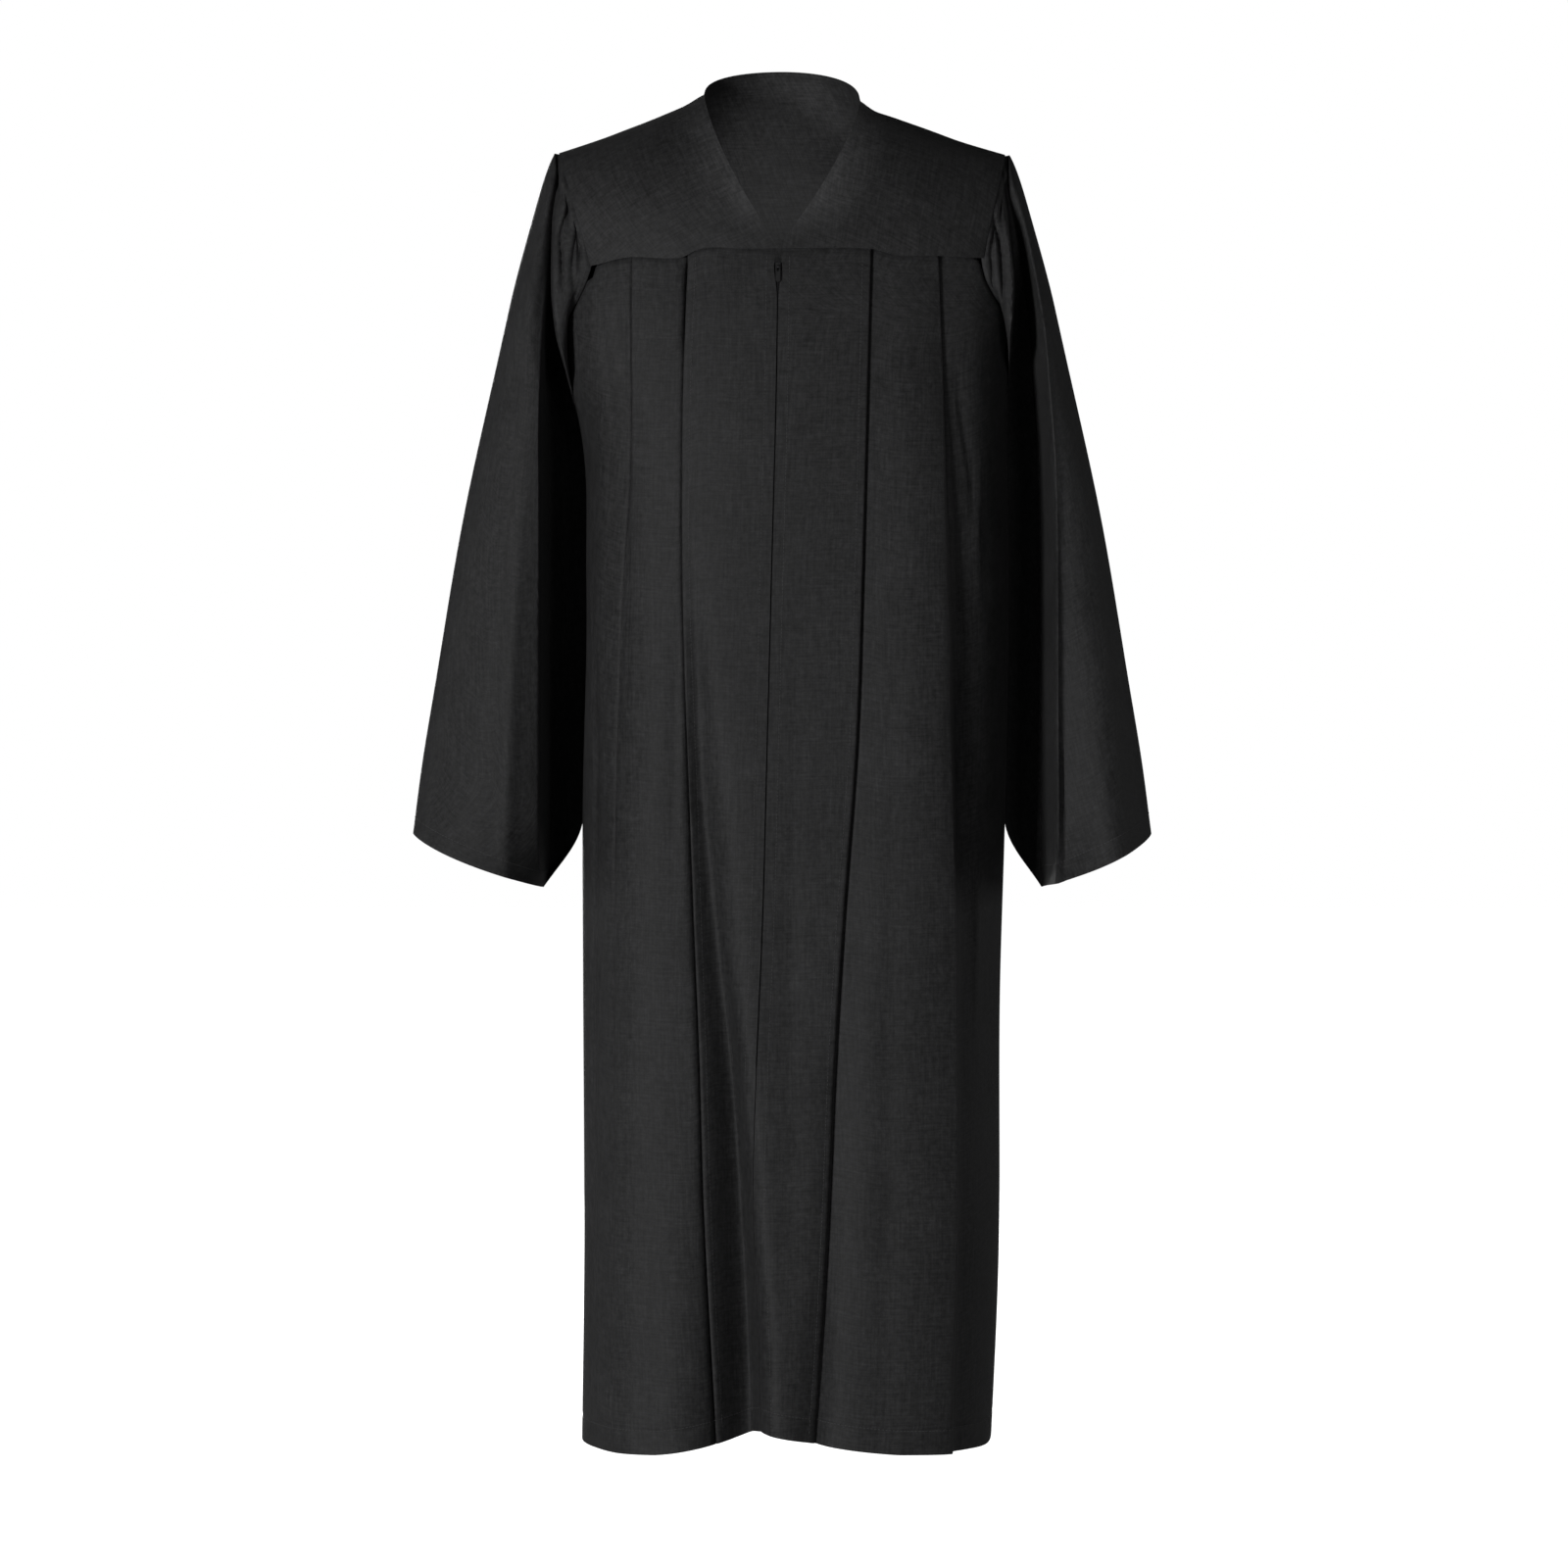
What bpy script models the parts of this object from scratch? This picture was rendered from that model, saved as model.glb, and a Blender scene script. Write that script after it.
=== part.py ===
"""Graduation gown, hollow in its worn shape: yokes, pleated fronts and back, bell sleeves, front zip.

Metres, +Z up, the front faces -Y, left is -X. The origin is the height of the neck points, between
the shoulders. A drop is a distance below it. A reach is a length along the cloth round the trunk from
the middle of the front or back, negative to the left, and an inset is a depth in from the trunk's form.
"""
import math

import bmesh
import bpy
import numpy as np
from mathutils import Matrix, Vector

# Cloth and seams
CLOTH = 0.0012
SEAM = 0.0003
WELD = 0.000001

# Trunk sections, each with its middle, half width and depths to the front and the back
TRUNK_COLUMNS = ("drop", "middle", "half", "front", "back")
TRUNK_ROWS = (
    (0.140, 0.0055, 0.2140, 0.117, 0.107),
    (0.190, 0.0020, 0.2170, 0.124, 0.112),
    (0.240, 0.0030, 0.2095, 0.128, 0.115),
    (0.300, 0.0105, 0.2010, 0.131, 0.117),
    (0.450, 0.0145, 0.1985, 0.134, 0.118),
    (0.670, 0.0110, 0.1985, 0.138, 0.120),
    (0.820, 0.0090, 0.1960, 0.141, 0.123),
    (1.100, 0.0085, 0.1945, 0.147, 0.130),
    (1.260, 0.0040, 0.1920, 0.150, 0.134),
)
SQUARENESS = 2.4
RIM_STEPS = 120
PROBE = 0.002

# Shoulder line from the neck to the tips, the same on both sides
SHOULDER_COLUMNS = ("across", "drop")
SHOULDER_ROWS = (
    (0.0600, -0.0150),
    (0.0730, -0.0110),
    (0.0900, -0.0010),
    (0.1080, 0.0070),
    (0.1270, 0.0148),
    (0.1460, 0.0220),
    (0.1660, 0.0296),
    (0.1880, 0.0370),
    (0.2100, 0.0440),
)
NECK_SIDE = 0.073
SHOULDER_TIP = 0.210
NECK_CURVE = 1.5
NECK_BACK_DEPTH = 0.058
NECK_BACK_RISE = 0.0330
NECK_BACK_LEAN = math.radians(48)
NECK_BACK_SHARE = 0.34
NECK_BACK_CURVE = 0.8
YOKE_ROWS = 9
YOKE_COLUMNS = 11

# Yoke seams, and the armhole as a share of the way round from the middle to the side
SEAM_COLUMNS = ("across", "drop")
FRONT_SEAM_ROWS = (
    (-0.190, 0.1530),
    (-0.110, 0.1505),
    (-0.060, 0.1460),
    (0.000, 0.1430),
    (0.070, 0.1430),
    (0.120, 0.1460),
    (0.190, 0.1475),
)
BACK_SEAM = 0.150
ARMHOLE_SHARE = 0.69
ARMPIT_LEVEL = 0.059
ARMHOLE_ROWS = 7
PANEL_ROWS = 20
FRONT_STRETCHES = (3, 3, 5)
BACK_STRETCHES = (2, 2, 4)

# Hem: how far it drops round the front, by share from the left side to the right, and at the back
HEM_COLUMNS = ("share", "drop")
HEM_ROWS = (
    (-1.00, 1.2540),
    (-0.60, 1.2500),
    (-0.30, 1.2450),
    (-0.08, 1.2310),
    (0.08, 1.2330),
    (0.35, 1.2460),
    (0.65, 1.2500),
    (1.00, 1.2440),
)
BACK_HEM = 1.249

# Lines down the front, as distances across: the zip, and the edge of each pleat
FRONT_LINE_COLUMNS = ("drop", "zip", "inner_left", "outer_left", "inner_right", "outer_right")
FRONT_LINE_ROWS = (
    (0.140, -0.0034, -0.0854, -0.1376, 0.0809, 0.1430),
    (0.280, -0.0054, -0.0905, -0.1394, 0.0773, 0.1500),
    (0.430, -0.0092, -0.0917, -0.1440, 0.0735, 0.1510),
    (0.600, -0.0135, -0.0885, -0.1460, 0.0680, 0.1490),
    (0.770, -0.0180, -0.0827, -0.1460, 0.0560, 0.1480),
    (0.900, -0.0234, -0.0773, -0.1450, 0.0487, 0.1480),
    (1.030, -0.0265, -0.0746, -0.1440, 0.0435, 0.1480),
    (1.150, -0.0222, -0.0700, -0.1430, 0.0375, 0.1480),
    (1.250, -0.0198, -0.0656, -0.1430, 0.0306, 0.1480),
)
BACK_PLEATS = (0.062, 0.122)

# Knife pleats: depth folded under, and how far each has opened by its drop (0 pressed, 1 gone)
PLEAT_UNDER = 0.013
PLEAT_LIFT = 0.0025
PLEAT_SPREAD = 0.024
PLEAT_SWELL = 2.5
PLEAT_RISE = 0.040
PLEAT_PAST = 0.004
FOLD_ROUND = math.cos(math.radians(30))
OPENING_COLUMNS = ("drop", "inner", "outer", "back")
OPENING_ROWS = (
    (0.140, 0.00, 0.00, 0.00),
    (0.250, 0.03, 0.12, 0.10),
    (0.400, 0.08, 0.60, 0.35),
    (0.550, 0.14, 0.85, 0.60),
    (0.800, 0.24, 0.94, 0.78),
    (1.260, 0.42, 0.97, 0.88),
)

# Large soft folds: reach at the top and the hem, drops between which they grow, depth in, width
FOLD_COLUMNS = ("top", "hem", "start", "full", "depth", "width")
FRONT_FOLD_ROWS = (
    (-0.118, -0.128, 0.45, 1.10, -0.0080, 0.026),
    (-0.072, -0.052, 0.60, 1.05, 0.0130, 0.016),
    (0.020, -0.002, 0.50, 1.05, -0.0060, 0.020),
    (0.052, 0.022, 0.60, 1.10, 0.0060, 0.012),
    (0.118, 0.100, 0.40, 1.05, -0.0070, 0.030),
    (0.172, 0.165, 0.20, 0.50, 0.0070, 0.014),
    (-0.182, -0.190, 0.30, 0.70, 0.0040, 0.014),
)
BACK_FOLD_ROWS = (
    (-0.150, -0.165, 0.35, 1.00, -0.0080, 0.022),
    (-0.095, -0.105, 0.40, 1.05, 0.0090, 0.018),
    (-0.030, -0.040, 0.40, 1.00, -0.0070, 0.020),
    (0.012, 0.008, 0.50, 1.10, 0.0080, 0.016),
    (0.048, 0.060, 0.40, 1.00, -0.0080, 0.022),
    (0.100, 0.112, 0.45, 1.05, 0.0090, 0.018),
    (0.155, 0.170, 0.40, 1.00, -0.0070, 0.022),
)

# Sleeves, by share of the length: outer edge, inner edge, its flare off the trunk, and depths each way
SLEEVE_COLUMNS = ("share", "outer", "outer_drop", "inner_drop", "flare", "front", "back")
SLEEVE_ROWS = (
    (0.00, 0.2110, 0.0450, 0.2150, 0.0045, 0.074, 0.072),
    (0.06, 0.2290, 0.0790, 0.2420, 0.0045, 0.078, 0.074),
    (0.15, 0.2430, 0.1400, 0.2900, 0.0045, 0.080, 0.074),
    (0.30, 0.2655, 0.2350, 0.3750, 0.0045, 0.084, 0.074),
    (0.50, 0.2980, 0.3780, 0.4900, 0.0045, 0.091, 0.076),
    (0.75, 0.3270, 0.5450, 0.6250, 0.0045, 0.102, 0.084),
    (0.87, 0.3380, 0.6150, 0.6820, 0.0080, 0.108, 0.090),
    (1.00, 0.3470, 0.6840, 0.7350, 0.0380, 0.112, 0.096),
)
SLEEVE_SQUARENESS = 2.15
SLEEVE_OFF_EDGE = 0.0013
SLEEVE_ROLL = 0.0040
SLEEVE_ROLL_SHARE = 0.012
SLEEVE_SET = 0.22
SLEEVE_BAND_STEPS = 12
SLEEVE_WALL_STEPS = 4
SLEEVE_FLOOR_STEPS = 7
SLEEVE_BACK_STEPS = 17
LOOP_STEPS = 15
SLEEVE_RINGS = (0, 0.006, 0.016, 0.035, 0.06, 0.09, 0.125, 0.165, 0.21, 0.26, 0.32, 0.39, 0.46, 0.54, 0.62,
                0.70, 0.78, 0.85, 0.91, 0.96, 1.0)

# Deep hollow down the front of each sleeve, by drop: distances across of its edges, and how far it goes in
HOLLOW_COLUMNS = ("drop", "outer_left", "inner_left", "outer_right", "inner_right", "strength")
HOLLOW_ROWS = (
    (0.190, 0.2190, 0.2085, 0.2330, 0.2100, 0.00),
    (0.235, 0.2210, 0.2060, 0.2390, 0.2120, 0.30),
    (0.300, 0.2225, 0.1920, 0.2465, 0.2110, 0.85),
    (0.365, 0.2240, 0.1700, 0.2515, 0.1950, 1.00),
    (0.600, 0.2242, 0.1600, 0.2534, 0.1800, 1.00),
    (0.735, 0.2245, 0.1600, 0.2540, 0.1800, 0.80),
)
HOLLOW_EDGE = 0.003
HOLLOW_FOOT = 0.004
HOLLOW_FLOOR = 0.012
HOLLOW_START = 0.12

# Gathers of a sleeve head: turns in degrees at the armhole (0 top, 90 front) and at the end
GATHER_GROWTH = 0.018
GATHER_COLUMNS = ("start", "end", "bend", "share", "depth", "width")
GATHER_ROWS = (
    (14, 98, 0.60, 0.30, 0.0140, 12),
    (52, 96, 0.80, 0.16, 0.0080, 8),
    (74, 108, 0.80, 0.10, 0.0060, 7),
    (-14, -24, 1.00, 0.24, 0.0040, 9),
    (-33, -60, 1.00, 0.40, 0.0080, 11),
    (-55, -82, 1.00, 0.28, 0.0060, 10),
    (-76, -100, 1.00, 0.18, 0.0045, 10),
)

# Zip
ZIP_TOP = 0.158
ZIP_END = 0.898
SLIT_HALF = 0.0006
SLIT_PART = 0.0036
SLIT_PART_DROP = 0.1615
SLIT_PART_LENGTH = 0.017
TAPE_THICK = 0.0008
TAPE_OFF = 0.0006
TAPE_INNER = 0.0014
TAPE_OUTER = 0.0120
SLIDER_DROP = 0.1630
SLIDER_LEAN = math.radians(9)
SLIDER_WIDTH = 0.0046
SLIDER_LENGTH = 0.0090
SLIDER_PLATE = 0.0012
SLIDER_POST = 0.0014
SLIDER_GAP = 0.0006
ARCH_HEIGHT = 0.0044
ARCH_REACH = 0.0036
ARCH_BAR = 0.0008
ARCH_SINK = 0.0004
ARCH_THICK = 0.0012
ARCH_STEPS = 11
TAB_STEPS = 9
TAB_WIDTH = 0.0044
TAB_LENGTH = 0.0140
TAB_THICK = 0.0010
TAB_BAR = 0.0010
TAB_WINDOW_WIDTH = 0.0024
TAB_WINDOW_LENGTH = 0.0042
TAB_OFF_PLATE = 0.0016

FACING = {"front": -1, "back": 1}
SIDE = {"left": -1, "right": 1}
CORNER_REACH = 0.19
SLIDER_TURN = Matrix.Rotation(-SLIDER_LEAN, 4, "X")


def table(columns, rows):
    """Rows of numbers as one array for each named column."""
    return dict(zip(columns, np.array(rows, dtype=float).T))


def records(columns, rows):
    """Rows of numbers as one set of named values for each row."""
    return [dict(zip(columns, row)) for row in rows]


TRUNK = table(TRUNK_COLUMNS, TRUNK_ROWS)
SHOULDER = table(SHOULDER_COLUMNS, SHOULDER_ROWS)
FRONT_SEAM = table(SEAM_COLUMNS, FRONT_SEAM_ROWS)
HEM = table(HEM_COLUMNS, HEM_ROWS)
FRONT_LINES = table(FRONT_LINE_COLUMNS, FRONT_LINE_ROWS)
OPENING = table(OPENING_COLUMNS, OPENING_ROWS)
SLEEVE = table(SLEEVE_COLUMNS, SLEEVE_ROWS)
HOLLOW = table(HOLLOW_COLUMNS, HOLLOW_ROWS)
FOLDS = {"front": records(FOLD_COLUMNS, FRONT_FOLD_ROWS), "back": records(FOLD_COLUMNS, BACK_FOLD_ROWS)}
GATHERS = records(GATHER_COLUMNS, GATHER_ROWS)


def read(values, column, place):
    """Value of a column at a place along the table's first column, on a smooth curve through the rows."""
    places = next(iter(values.values()))
    heights = values[column]
    place = min(max(place, places[0]), places[-1])
    slopes = np.gradient(heights, places)
    row = min(int(np.searchsorted(places, place, side="right")) - 1, len(places) - 2)
    step = places[row + 1] - places[row]
    part = (place - places[row]) / step
    rise = part * part * (3 - 2 * part)
    return (
        heights[row] * (1 - rise)
        + heights[row + 1] * rise
        + step * slopes[row] * part * (1 - part) ** 2
        - step * slopes[row + 1] * part * part * (1 - part)
    )


def ease(share):
    """Smooth step from 0 to 1."""
    share = min(max(share, 0.0), 1.0)
    return share * share * (3 - 2 * share)


def power(value, squareness):
    """Signed power that squares up a circle's sine or cosine."""
    return math.copysign(abs(value) ** (2 / squareness), value)


# Trunk

def rim(face, drop):
    """Trunk outline of one face at a drop: places across, depths, and reaches along it from the middle."""
    turns = np.linspace(-math.pi / 2, math.pi / 2, 2 * RIM_STEPS + 1)
    bend = 2 / SQUARENESS
    sines = np.sin(turns)
    across = read(TRUNK, "middle", drop) + read(TRUNK, "half", drop) * np.sign(sines) * np.abs(sines) ** bend
    deep = FACING[face] * read(TRUNK, face, drop) * np.abs(np.cos(turns)) ** bend
    steps = np.hypot(np.diff(across), np.diff(deep))
    reach = np.concatenate(([0.0], np.cumsum(steps)))
    return across, deep, reach - reach[RIM_STEPS]


def reach_at(face, drop, across):
    """Reach of the point of the trunk that lies at a distance across."""
    places, _, reaches = rim(face, drop)
    return float(np.interp(across, places, reaches))


def reach_of_side(face, drop, side):
    """Reach of the side seam."""
    reaches = rim(face, drop)[2]
    return reaches[0] if side < 0 else reaches[-1]


def bump(distance, width):
    """Bell curve: 1 in the middle, falling to nothing over about twice the width."""
    return math.exp(-((distance / width) ** 2))


def soft_folds(face, reach, drop):
    """Depth of the large soft folds at a point."""
    down = (drop - BACK_SEAM) / (BACK_HEM - BACK_SEAM)
    total = 0.0
    for fold in FOLDS[face]:
        middle = fold["top"] + (fold["hem"] - fold["top"]) * down
        growth = ease((drop - fold["start"]) / (fold["full"] - fold["start"]))
        total += fold["depth"] * growth * bump(reach - middle, fold["width"])
    return total


def trunk_point(face, reach, drop, inset=0.0):
    """Point at a reach round the trunk, a drop and a depth in from its form."""
    places, deep, reaches = rim(face, drop)
    across = np.interp(reach, reaches, places)
    depth = np.interp(reach, reaches, deep)
    ahead = min(reach + PROBE, reaches[-1])
    behind = max(reach - PROBE, reaches[0])
    run = np.interp(ahead, reaches, places) - np.interp(behind, reaches, places)
    climb = np.interp(ahead, reaches, deep) - np.interp(behind, reaches, deep)
    size = math.hypot(run, climb)
    outward = FACING[face] * np.array((-climb, run)) / size
    inset = inset + soft_folds(face, reach, drop)
    return (across - inset * outward[0], depth - inset * outward[1], -drop)


def seam_drop(face, reach):
    """Drop of the yoke seam."""
    return BACK_SEAM if face == "back" else read(FRONT_SEAM, "drop", reach)


def hem_drop(face, share):
    """Drop of the hem, by share of the way from the middle to a side."""
    if face == "front":
        return read(HEM, "drop", share)
    return BACK_HEM + (read(HEM, "drop", math.copysign(1.0, share)) - BACK_HEM) * share * share


def level_drop(face, reach, level):
    """Drop of a point at a level, a share of the way from the yoke seam to the hem."""
    top = seam_drop(face, reach) + SEAM / 2
    share = reach / abs(reach_of_side(face, BACK_HEM, reach))
    return top + (hem_drop(face, share) - top) * level


def armhole(face, side, level):
    """Reach of the lower armhole at a level, from the yoke seam down to the armpit at the side seam."""
    drop = level_drop(face, side * CORNER_REACH, level)
    sink = min(level / ARMPIT_LEVEL, 1.0)
    share = ARMHOLE_SHARE + (1 - ARMHOLE_SHARE) * (1 - math.sqrt(1 - sink * sink))
    return share * reach_of_side(face, drop, side)


# Knife pleats and panels

def pleat(under, lift, opened):
    """Section of a knife pleat, from its edge outwards: pairs of a distance past the edge and an inset."""
    turn = lift / 2
    side = turn * FOLD_ROUND
    folded = (
        (0, 0), (side, turn * 0.5), (side, turn * 1.5), (0, turn * 2),
        (-under, turn * 2), (-under - side, turn * 2.5), (-under - side, turn * 3.5), (-under, turn * 4),
    )
    flat = np.linspace(-PLEAT_SPREAD / 2, PLEAT_SPREAD / 2, len(folded))
    swell = (1 - opened) * (1 + PLEAT_SWELL * opened)
    return [
        (past * (1 - opened) + level * opened, inset * swell)
        for (past, inset), level in zip(folded, flat)
    ]


def stretch(start, end, count, first, inset):
    """Points between two pleats, outwards: the first is just past the last pleat, which they climb out of."""
    places = start + first + (end - start - first) * np.linspace(0, 1, count)
    return [(place, inset * (1 - ease((place - start - first) / PLEAT_RISE))) for place in places]


def half_row(start, edges, end, counts, side):
    """One row of a half panel, outwards: reaches and insets. Edges are pairs (reach, opened)."""
    points = [(0.0, 0.0)]
    left_at, left_inset, first = 0.0, 0.0, TAPE_OUTER
    for (edge, opened), count in zip(edges, counts):
        place = abs(edge - start)
        turns = pleat(PLEAT_UNDER, PLEAT_LIFT, opened)
        points += stretch(left_at, place + turns[0][0], count + 1, first, left_inset)[:-1]
        points += [(place + past, inset) for past, inset in turns]
        left_at, left_inset = place + max(0.0, turns[-1][0]), turns[-1][1]
        first = PLEAT_PAST
    points += stretch(left_at, abs(end - start), counts[-1] + 1, first, left_inset)
    return [(start + side * place, inset) for place, inset in points]


def slit_half(drop):
    """Half of the gap between the fronts: a seam below the zip, a slit along it, parted at the slider."""
    if drop > ZIP_END:
        return SEAM / 2
    part = math.exp(-(((drop - SLIT_PART_DROP) / SLIT_PART_LENGTH) ** 2))
    return SLIT_HALF + (SLIT_PART - SLIT_HALF) * part


def panel_levels():
    """Shares of the way from the yoke seam to the hem: close rows at the armhole, even ones below."""
    turns = np.linspace(0, math.pi / 2, ARMHOLE_ROWS)
    lower = np.linspace(ARMPIT_LEVEL, 1, PANEL_ROWS - ARMHOLE_ROWS + 1)
    return [ARMPIT_LEVEL * math.sin(turn) for turn in turns] + list(lower[1:])


def panel_edge(face, side, level):
    """Reach of a panel's outer edge: the armhole above the armpit, the side seam below it."""
    if level < ARMPIT_LEVEL:
        return armhole(face, side, level)
    drop = level_drop(face, side * CORNER_REACH, level)
    return reach_of_side(face, drop, side) - side * SEAM / 2


def panel_points(face, row, level):
    """Points of one row of a panel."""
    return [trunk_point(face, reach, level_drop(face, reach, level), inset) for reach, inset in row]


def line_reach(line, level):
    """Reach of a line down the front at a level, with its drop."""
    drop = level_drop("front", FRONT_LINES[line][0], level)
    reach = reach_at("front", drop, read(FRONT_LINES, line, drop))
    drop = level_drop("front", reach, level)
    return reach_at("front", drop, read(FRONT_LINES, line, drop)), drop


def front_grid(side_name):
    """Points of a front, from the zip to the side seam, with an inner and an outer knife pleat."""
    side = SIDE[side_name]
    grid = []
    for level in panel_levels():
        zip_reach, drop = line_reach("zip", level)
        start = zip_reach + side * slit_half(drop)
        edges = []
        for line in ("inner", "outer"):
            reach, edge_drop = line_reach(f"{line}_{side_name}", level)
            edges.append((reach, read(OPENING, line, edge_drop)))
        row = half_row(start, edges, panel_edge("front", side, level), FRONT_STRETCHES, side)
        grid.append(panel_points("front", row, level))
    return np.array(grid)


def back_panel(name, collection):
    """The back, from side seam to side seam, with two knife pleats each side of its middle."""
    grid = []
    for level in panel_levels():
        opened = read(OPENING, "back", level_drop("back", 0.0, level))
        halves = []
        for side in (-1, 1):
            edges = [(side * place, opened) for place in BACK_PLEATS]
            row = half_row(0.0, edges, panel_edge("back", side, level), BACK_STRETCHES, side)
            halves.append(panel_points("back", row, level))
        grid.append(halves[0][::-1] + halves[1][1:])
    return shell(name, grid, collection, cloth_material())


# Yokes

def shoulder_point(across):
    """Point of the shoulder line at a distance from the middle."""
    return np.array((across, 0.0, -read(SHOULDER, "drop", abs(across))))


def yoke_point(face, side, share, down, top):
    """Point of a yoke half: share from the neck to the armhole, down from the shoulder to the seam."""
    lean, start = top
    first = line_reach("zip", 0.0)[0] + side * SEAM / 2 if face == "front" else 0.0
    reach = first + (armhole(face, side, 0.0) - first) * share
    seam = np.array(trunk_point(face, reach, seam_drop(face, reach) - SEAM / 2))
    angle = lean + (math.pi / 2 - lean) * down
    fall = (math.cos(lean) - math.cos(angle)) / math.cos(lean)
    out = (math.sin(angle) - math.sin(lean)) / (1 - math.sin(lean))
    inward = fall ** (NECK_CURVE + (1 - NECK_CURVE) * share)
    return (
        start[0] + (seam[0] - start[0]) * inward,
        start[1] + (seam[1] - start[1]) * out,
        start[2] + (seam[2] - start[2]) * fall,
    )


def front_yoke(name, side_name, collection):
    """A front yoke, with its neck edge slanting down to the top of the zip."""
    side = SIDE[side_name]
    grid = []
    for down in np.linspace(0, 1, YOKE_ROWS):
        row = []
        for share in np.linspace(0, 1, YOKE_COLUMNS):
            start = shoulder_point(side * (NECK_SIDE + (SHOULDER_TIP - NECK_SIDE) * share))
            start[1] = -SEAM / 2
            row.append(yoke_point("front", side, share, down, (0.0, start)))
        grid.append(row)
    return shell(name, grid, collection, cloth_material())


def back_yoke(name, collection):
    """The back yoke, from armhole to armhole, standing up at the back of the neck."""
    grid = []
    for down in np.linspace(0, 1, YOKE_ROWS):
        row = []
        for share in np.linspace(-1, 1, 2 * YOKE_COLUMNS + 1):
            side = -1 if share < 0 else 1
            size = abs(share)
            if size < NECK_BACK_SHARE:
                turn = math.pi / 2 * size / NECK_BACK_SHARE
                side_drop = read(SHOULDER, "drop", NECK_SIDE)
                rise = NECK_BACK_RISE + side_drop
                start = np.array((
                    side * NECK_SIDE * math.sin(turn),
                    SEAM / 2 + NECK_BACK_DEPTH * math.cos(turn),
                    rise * math.cos(turn) ** NECK_BACK_CURVE - side_drop,
                ))
                lean = NECK_BACK_LEAN * math.cos(turn)
            else:
                along = (size - NECK_BACK_SHARE) / (1 - NECK_BACK_SHARE)
                start = shoulder_point(side * (NECK_SIDE + (SHOULDER_TIP - NECK_SIDE) * along))
                start[1] = SEAM / 2
                lean = 0.0
            row.append(yoke_point("back", side, size, down, (lean, start)))
        grid.append(row)
    return shell(name, grid, collection, cloth_material())


# Sleeves

def armhole_loop(side, turns):
    """Points of the armhole at turns from the shoulder tip, down its front and up its back."""
    halves = (turns[turns <= math.pi] / math.pi, 2 - turns[turns > math.pi] / math.pi)
    loop = []
    for face, shares in zip(("front", "back"), halves):
        start = shoulder_point(side * SHOULDER_TIP)
        downs = np.linspace(0, 1, LOOP_STEPS)[:-1]
        edge = [yoke_point(face, side, 1.0, down, (0.0, start)) for down in downs]
        for turn in np.linspace(0, math.pi / 2, LOOP_STEPS):
            level = ARMPIT_LEVEL * math.sin(turn)
            reach = armhole(face, side, level)
            edge.append(trunk_point(face, reach, level_drop(face, reach, level)))
        edge = np.array(edge)
        steps = np.linalg.norm(np.diff(edge, axis=0), axis=1)
        length = np.concatenate(([0.0], np.cumsum(steps)))
        places = shares * length[-1]
        loop.append(np.stack([np.interp(places, length, edge[:, axis]) for axis in range(3)], axis=1))
    return np.concatenate(loop)


def sleeve_plane(side, share, swing):
    """Place across and height on a sleeve's section, at a swing of 1 at its outer edge, -1 at the inner."""
    outer = side * read(SLEEVE, "outer", share)
    top = -read(SLEEVE, "outer_drop", share)
    low = read(SLEEVE, "inner_drop", share)
    trunk_side = read(TRUNK, "middle", low) + side * read(TRUNK, "half", low)
    inner = trunk_side + side * read(SLEEVE, "flare", share)
    across = (outer + inner) / 2 + (outer - inner) / 2 * swing
    return across, (top - low) / 2 + (top + low) / 2 * swing


def hollow_strength(side, across, drop):
    """How far a point of the sleeve's front is drawn back into the deep hollow, from 0 to 1."""
    side_name = "left" if side < 0 else "right"
    run = HOLLOW_EDGE + HOLLOW_FOOT
    outer = read(HOLLOW, f"outer_{side_name}", drop) + HOLLOW_EDGE
    inner = read(HOLLOW, f"inner_{side_name}", drop) - HOLLOW_EDGE
    within = ease((outer - abs(across)) / run) * ease((abs(across) - inner) / run)
    return min(max(read(HOLLOW, "strength", drop), 0.0), 1.0) * within


def hollow_turn(side, share, offset):
    """Turn of a section at which it meets the outer edge of the hollow, moved outwards by an offset."""
    side_name = "left" if side < 0 else "right"
    swings = np.linspace(1, -1, RIM_STEPS)
    misses = []
    for swing in swings:
        across, height = sleeve_plane(side, max(share, HOLLOW_START), swing)
        misses.append(abs(abs(across) - read(HOLLOW, f"outer_{side_name}", -height) - offset))
    swing = swings[int(np.argmin(misses))]
    return math.acos(math.copysign(abs(swing) ** (SLEEVE_SQUARENESS / 2), swing))


def sleeve_turns(side, share):
    """Turns of a section's points: close together down the side of the hollow, even elsewhere."""
    edge = hollow_turn(side, share, HOLLOW_EDGE)
    foot = hollow_turn(side, share, -HOLLOW_FOOT)
    return np.concatenate((
        np.linspace(0, edge, SLEEVE_BAND_STEPS, endpoint=False),
        np.linspace(edge, foot, SLEEVE_WALL_STEPS, endpoint=False),
        np.linspace(foot, math.pi, SLEEVE_FLOOR_STEPS, endpoint=False),
        np.linspace(math.pi, 2 * math.pi, SLEEVE_BACK_STEPS, endpoint=False),
    ))


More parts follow.
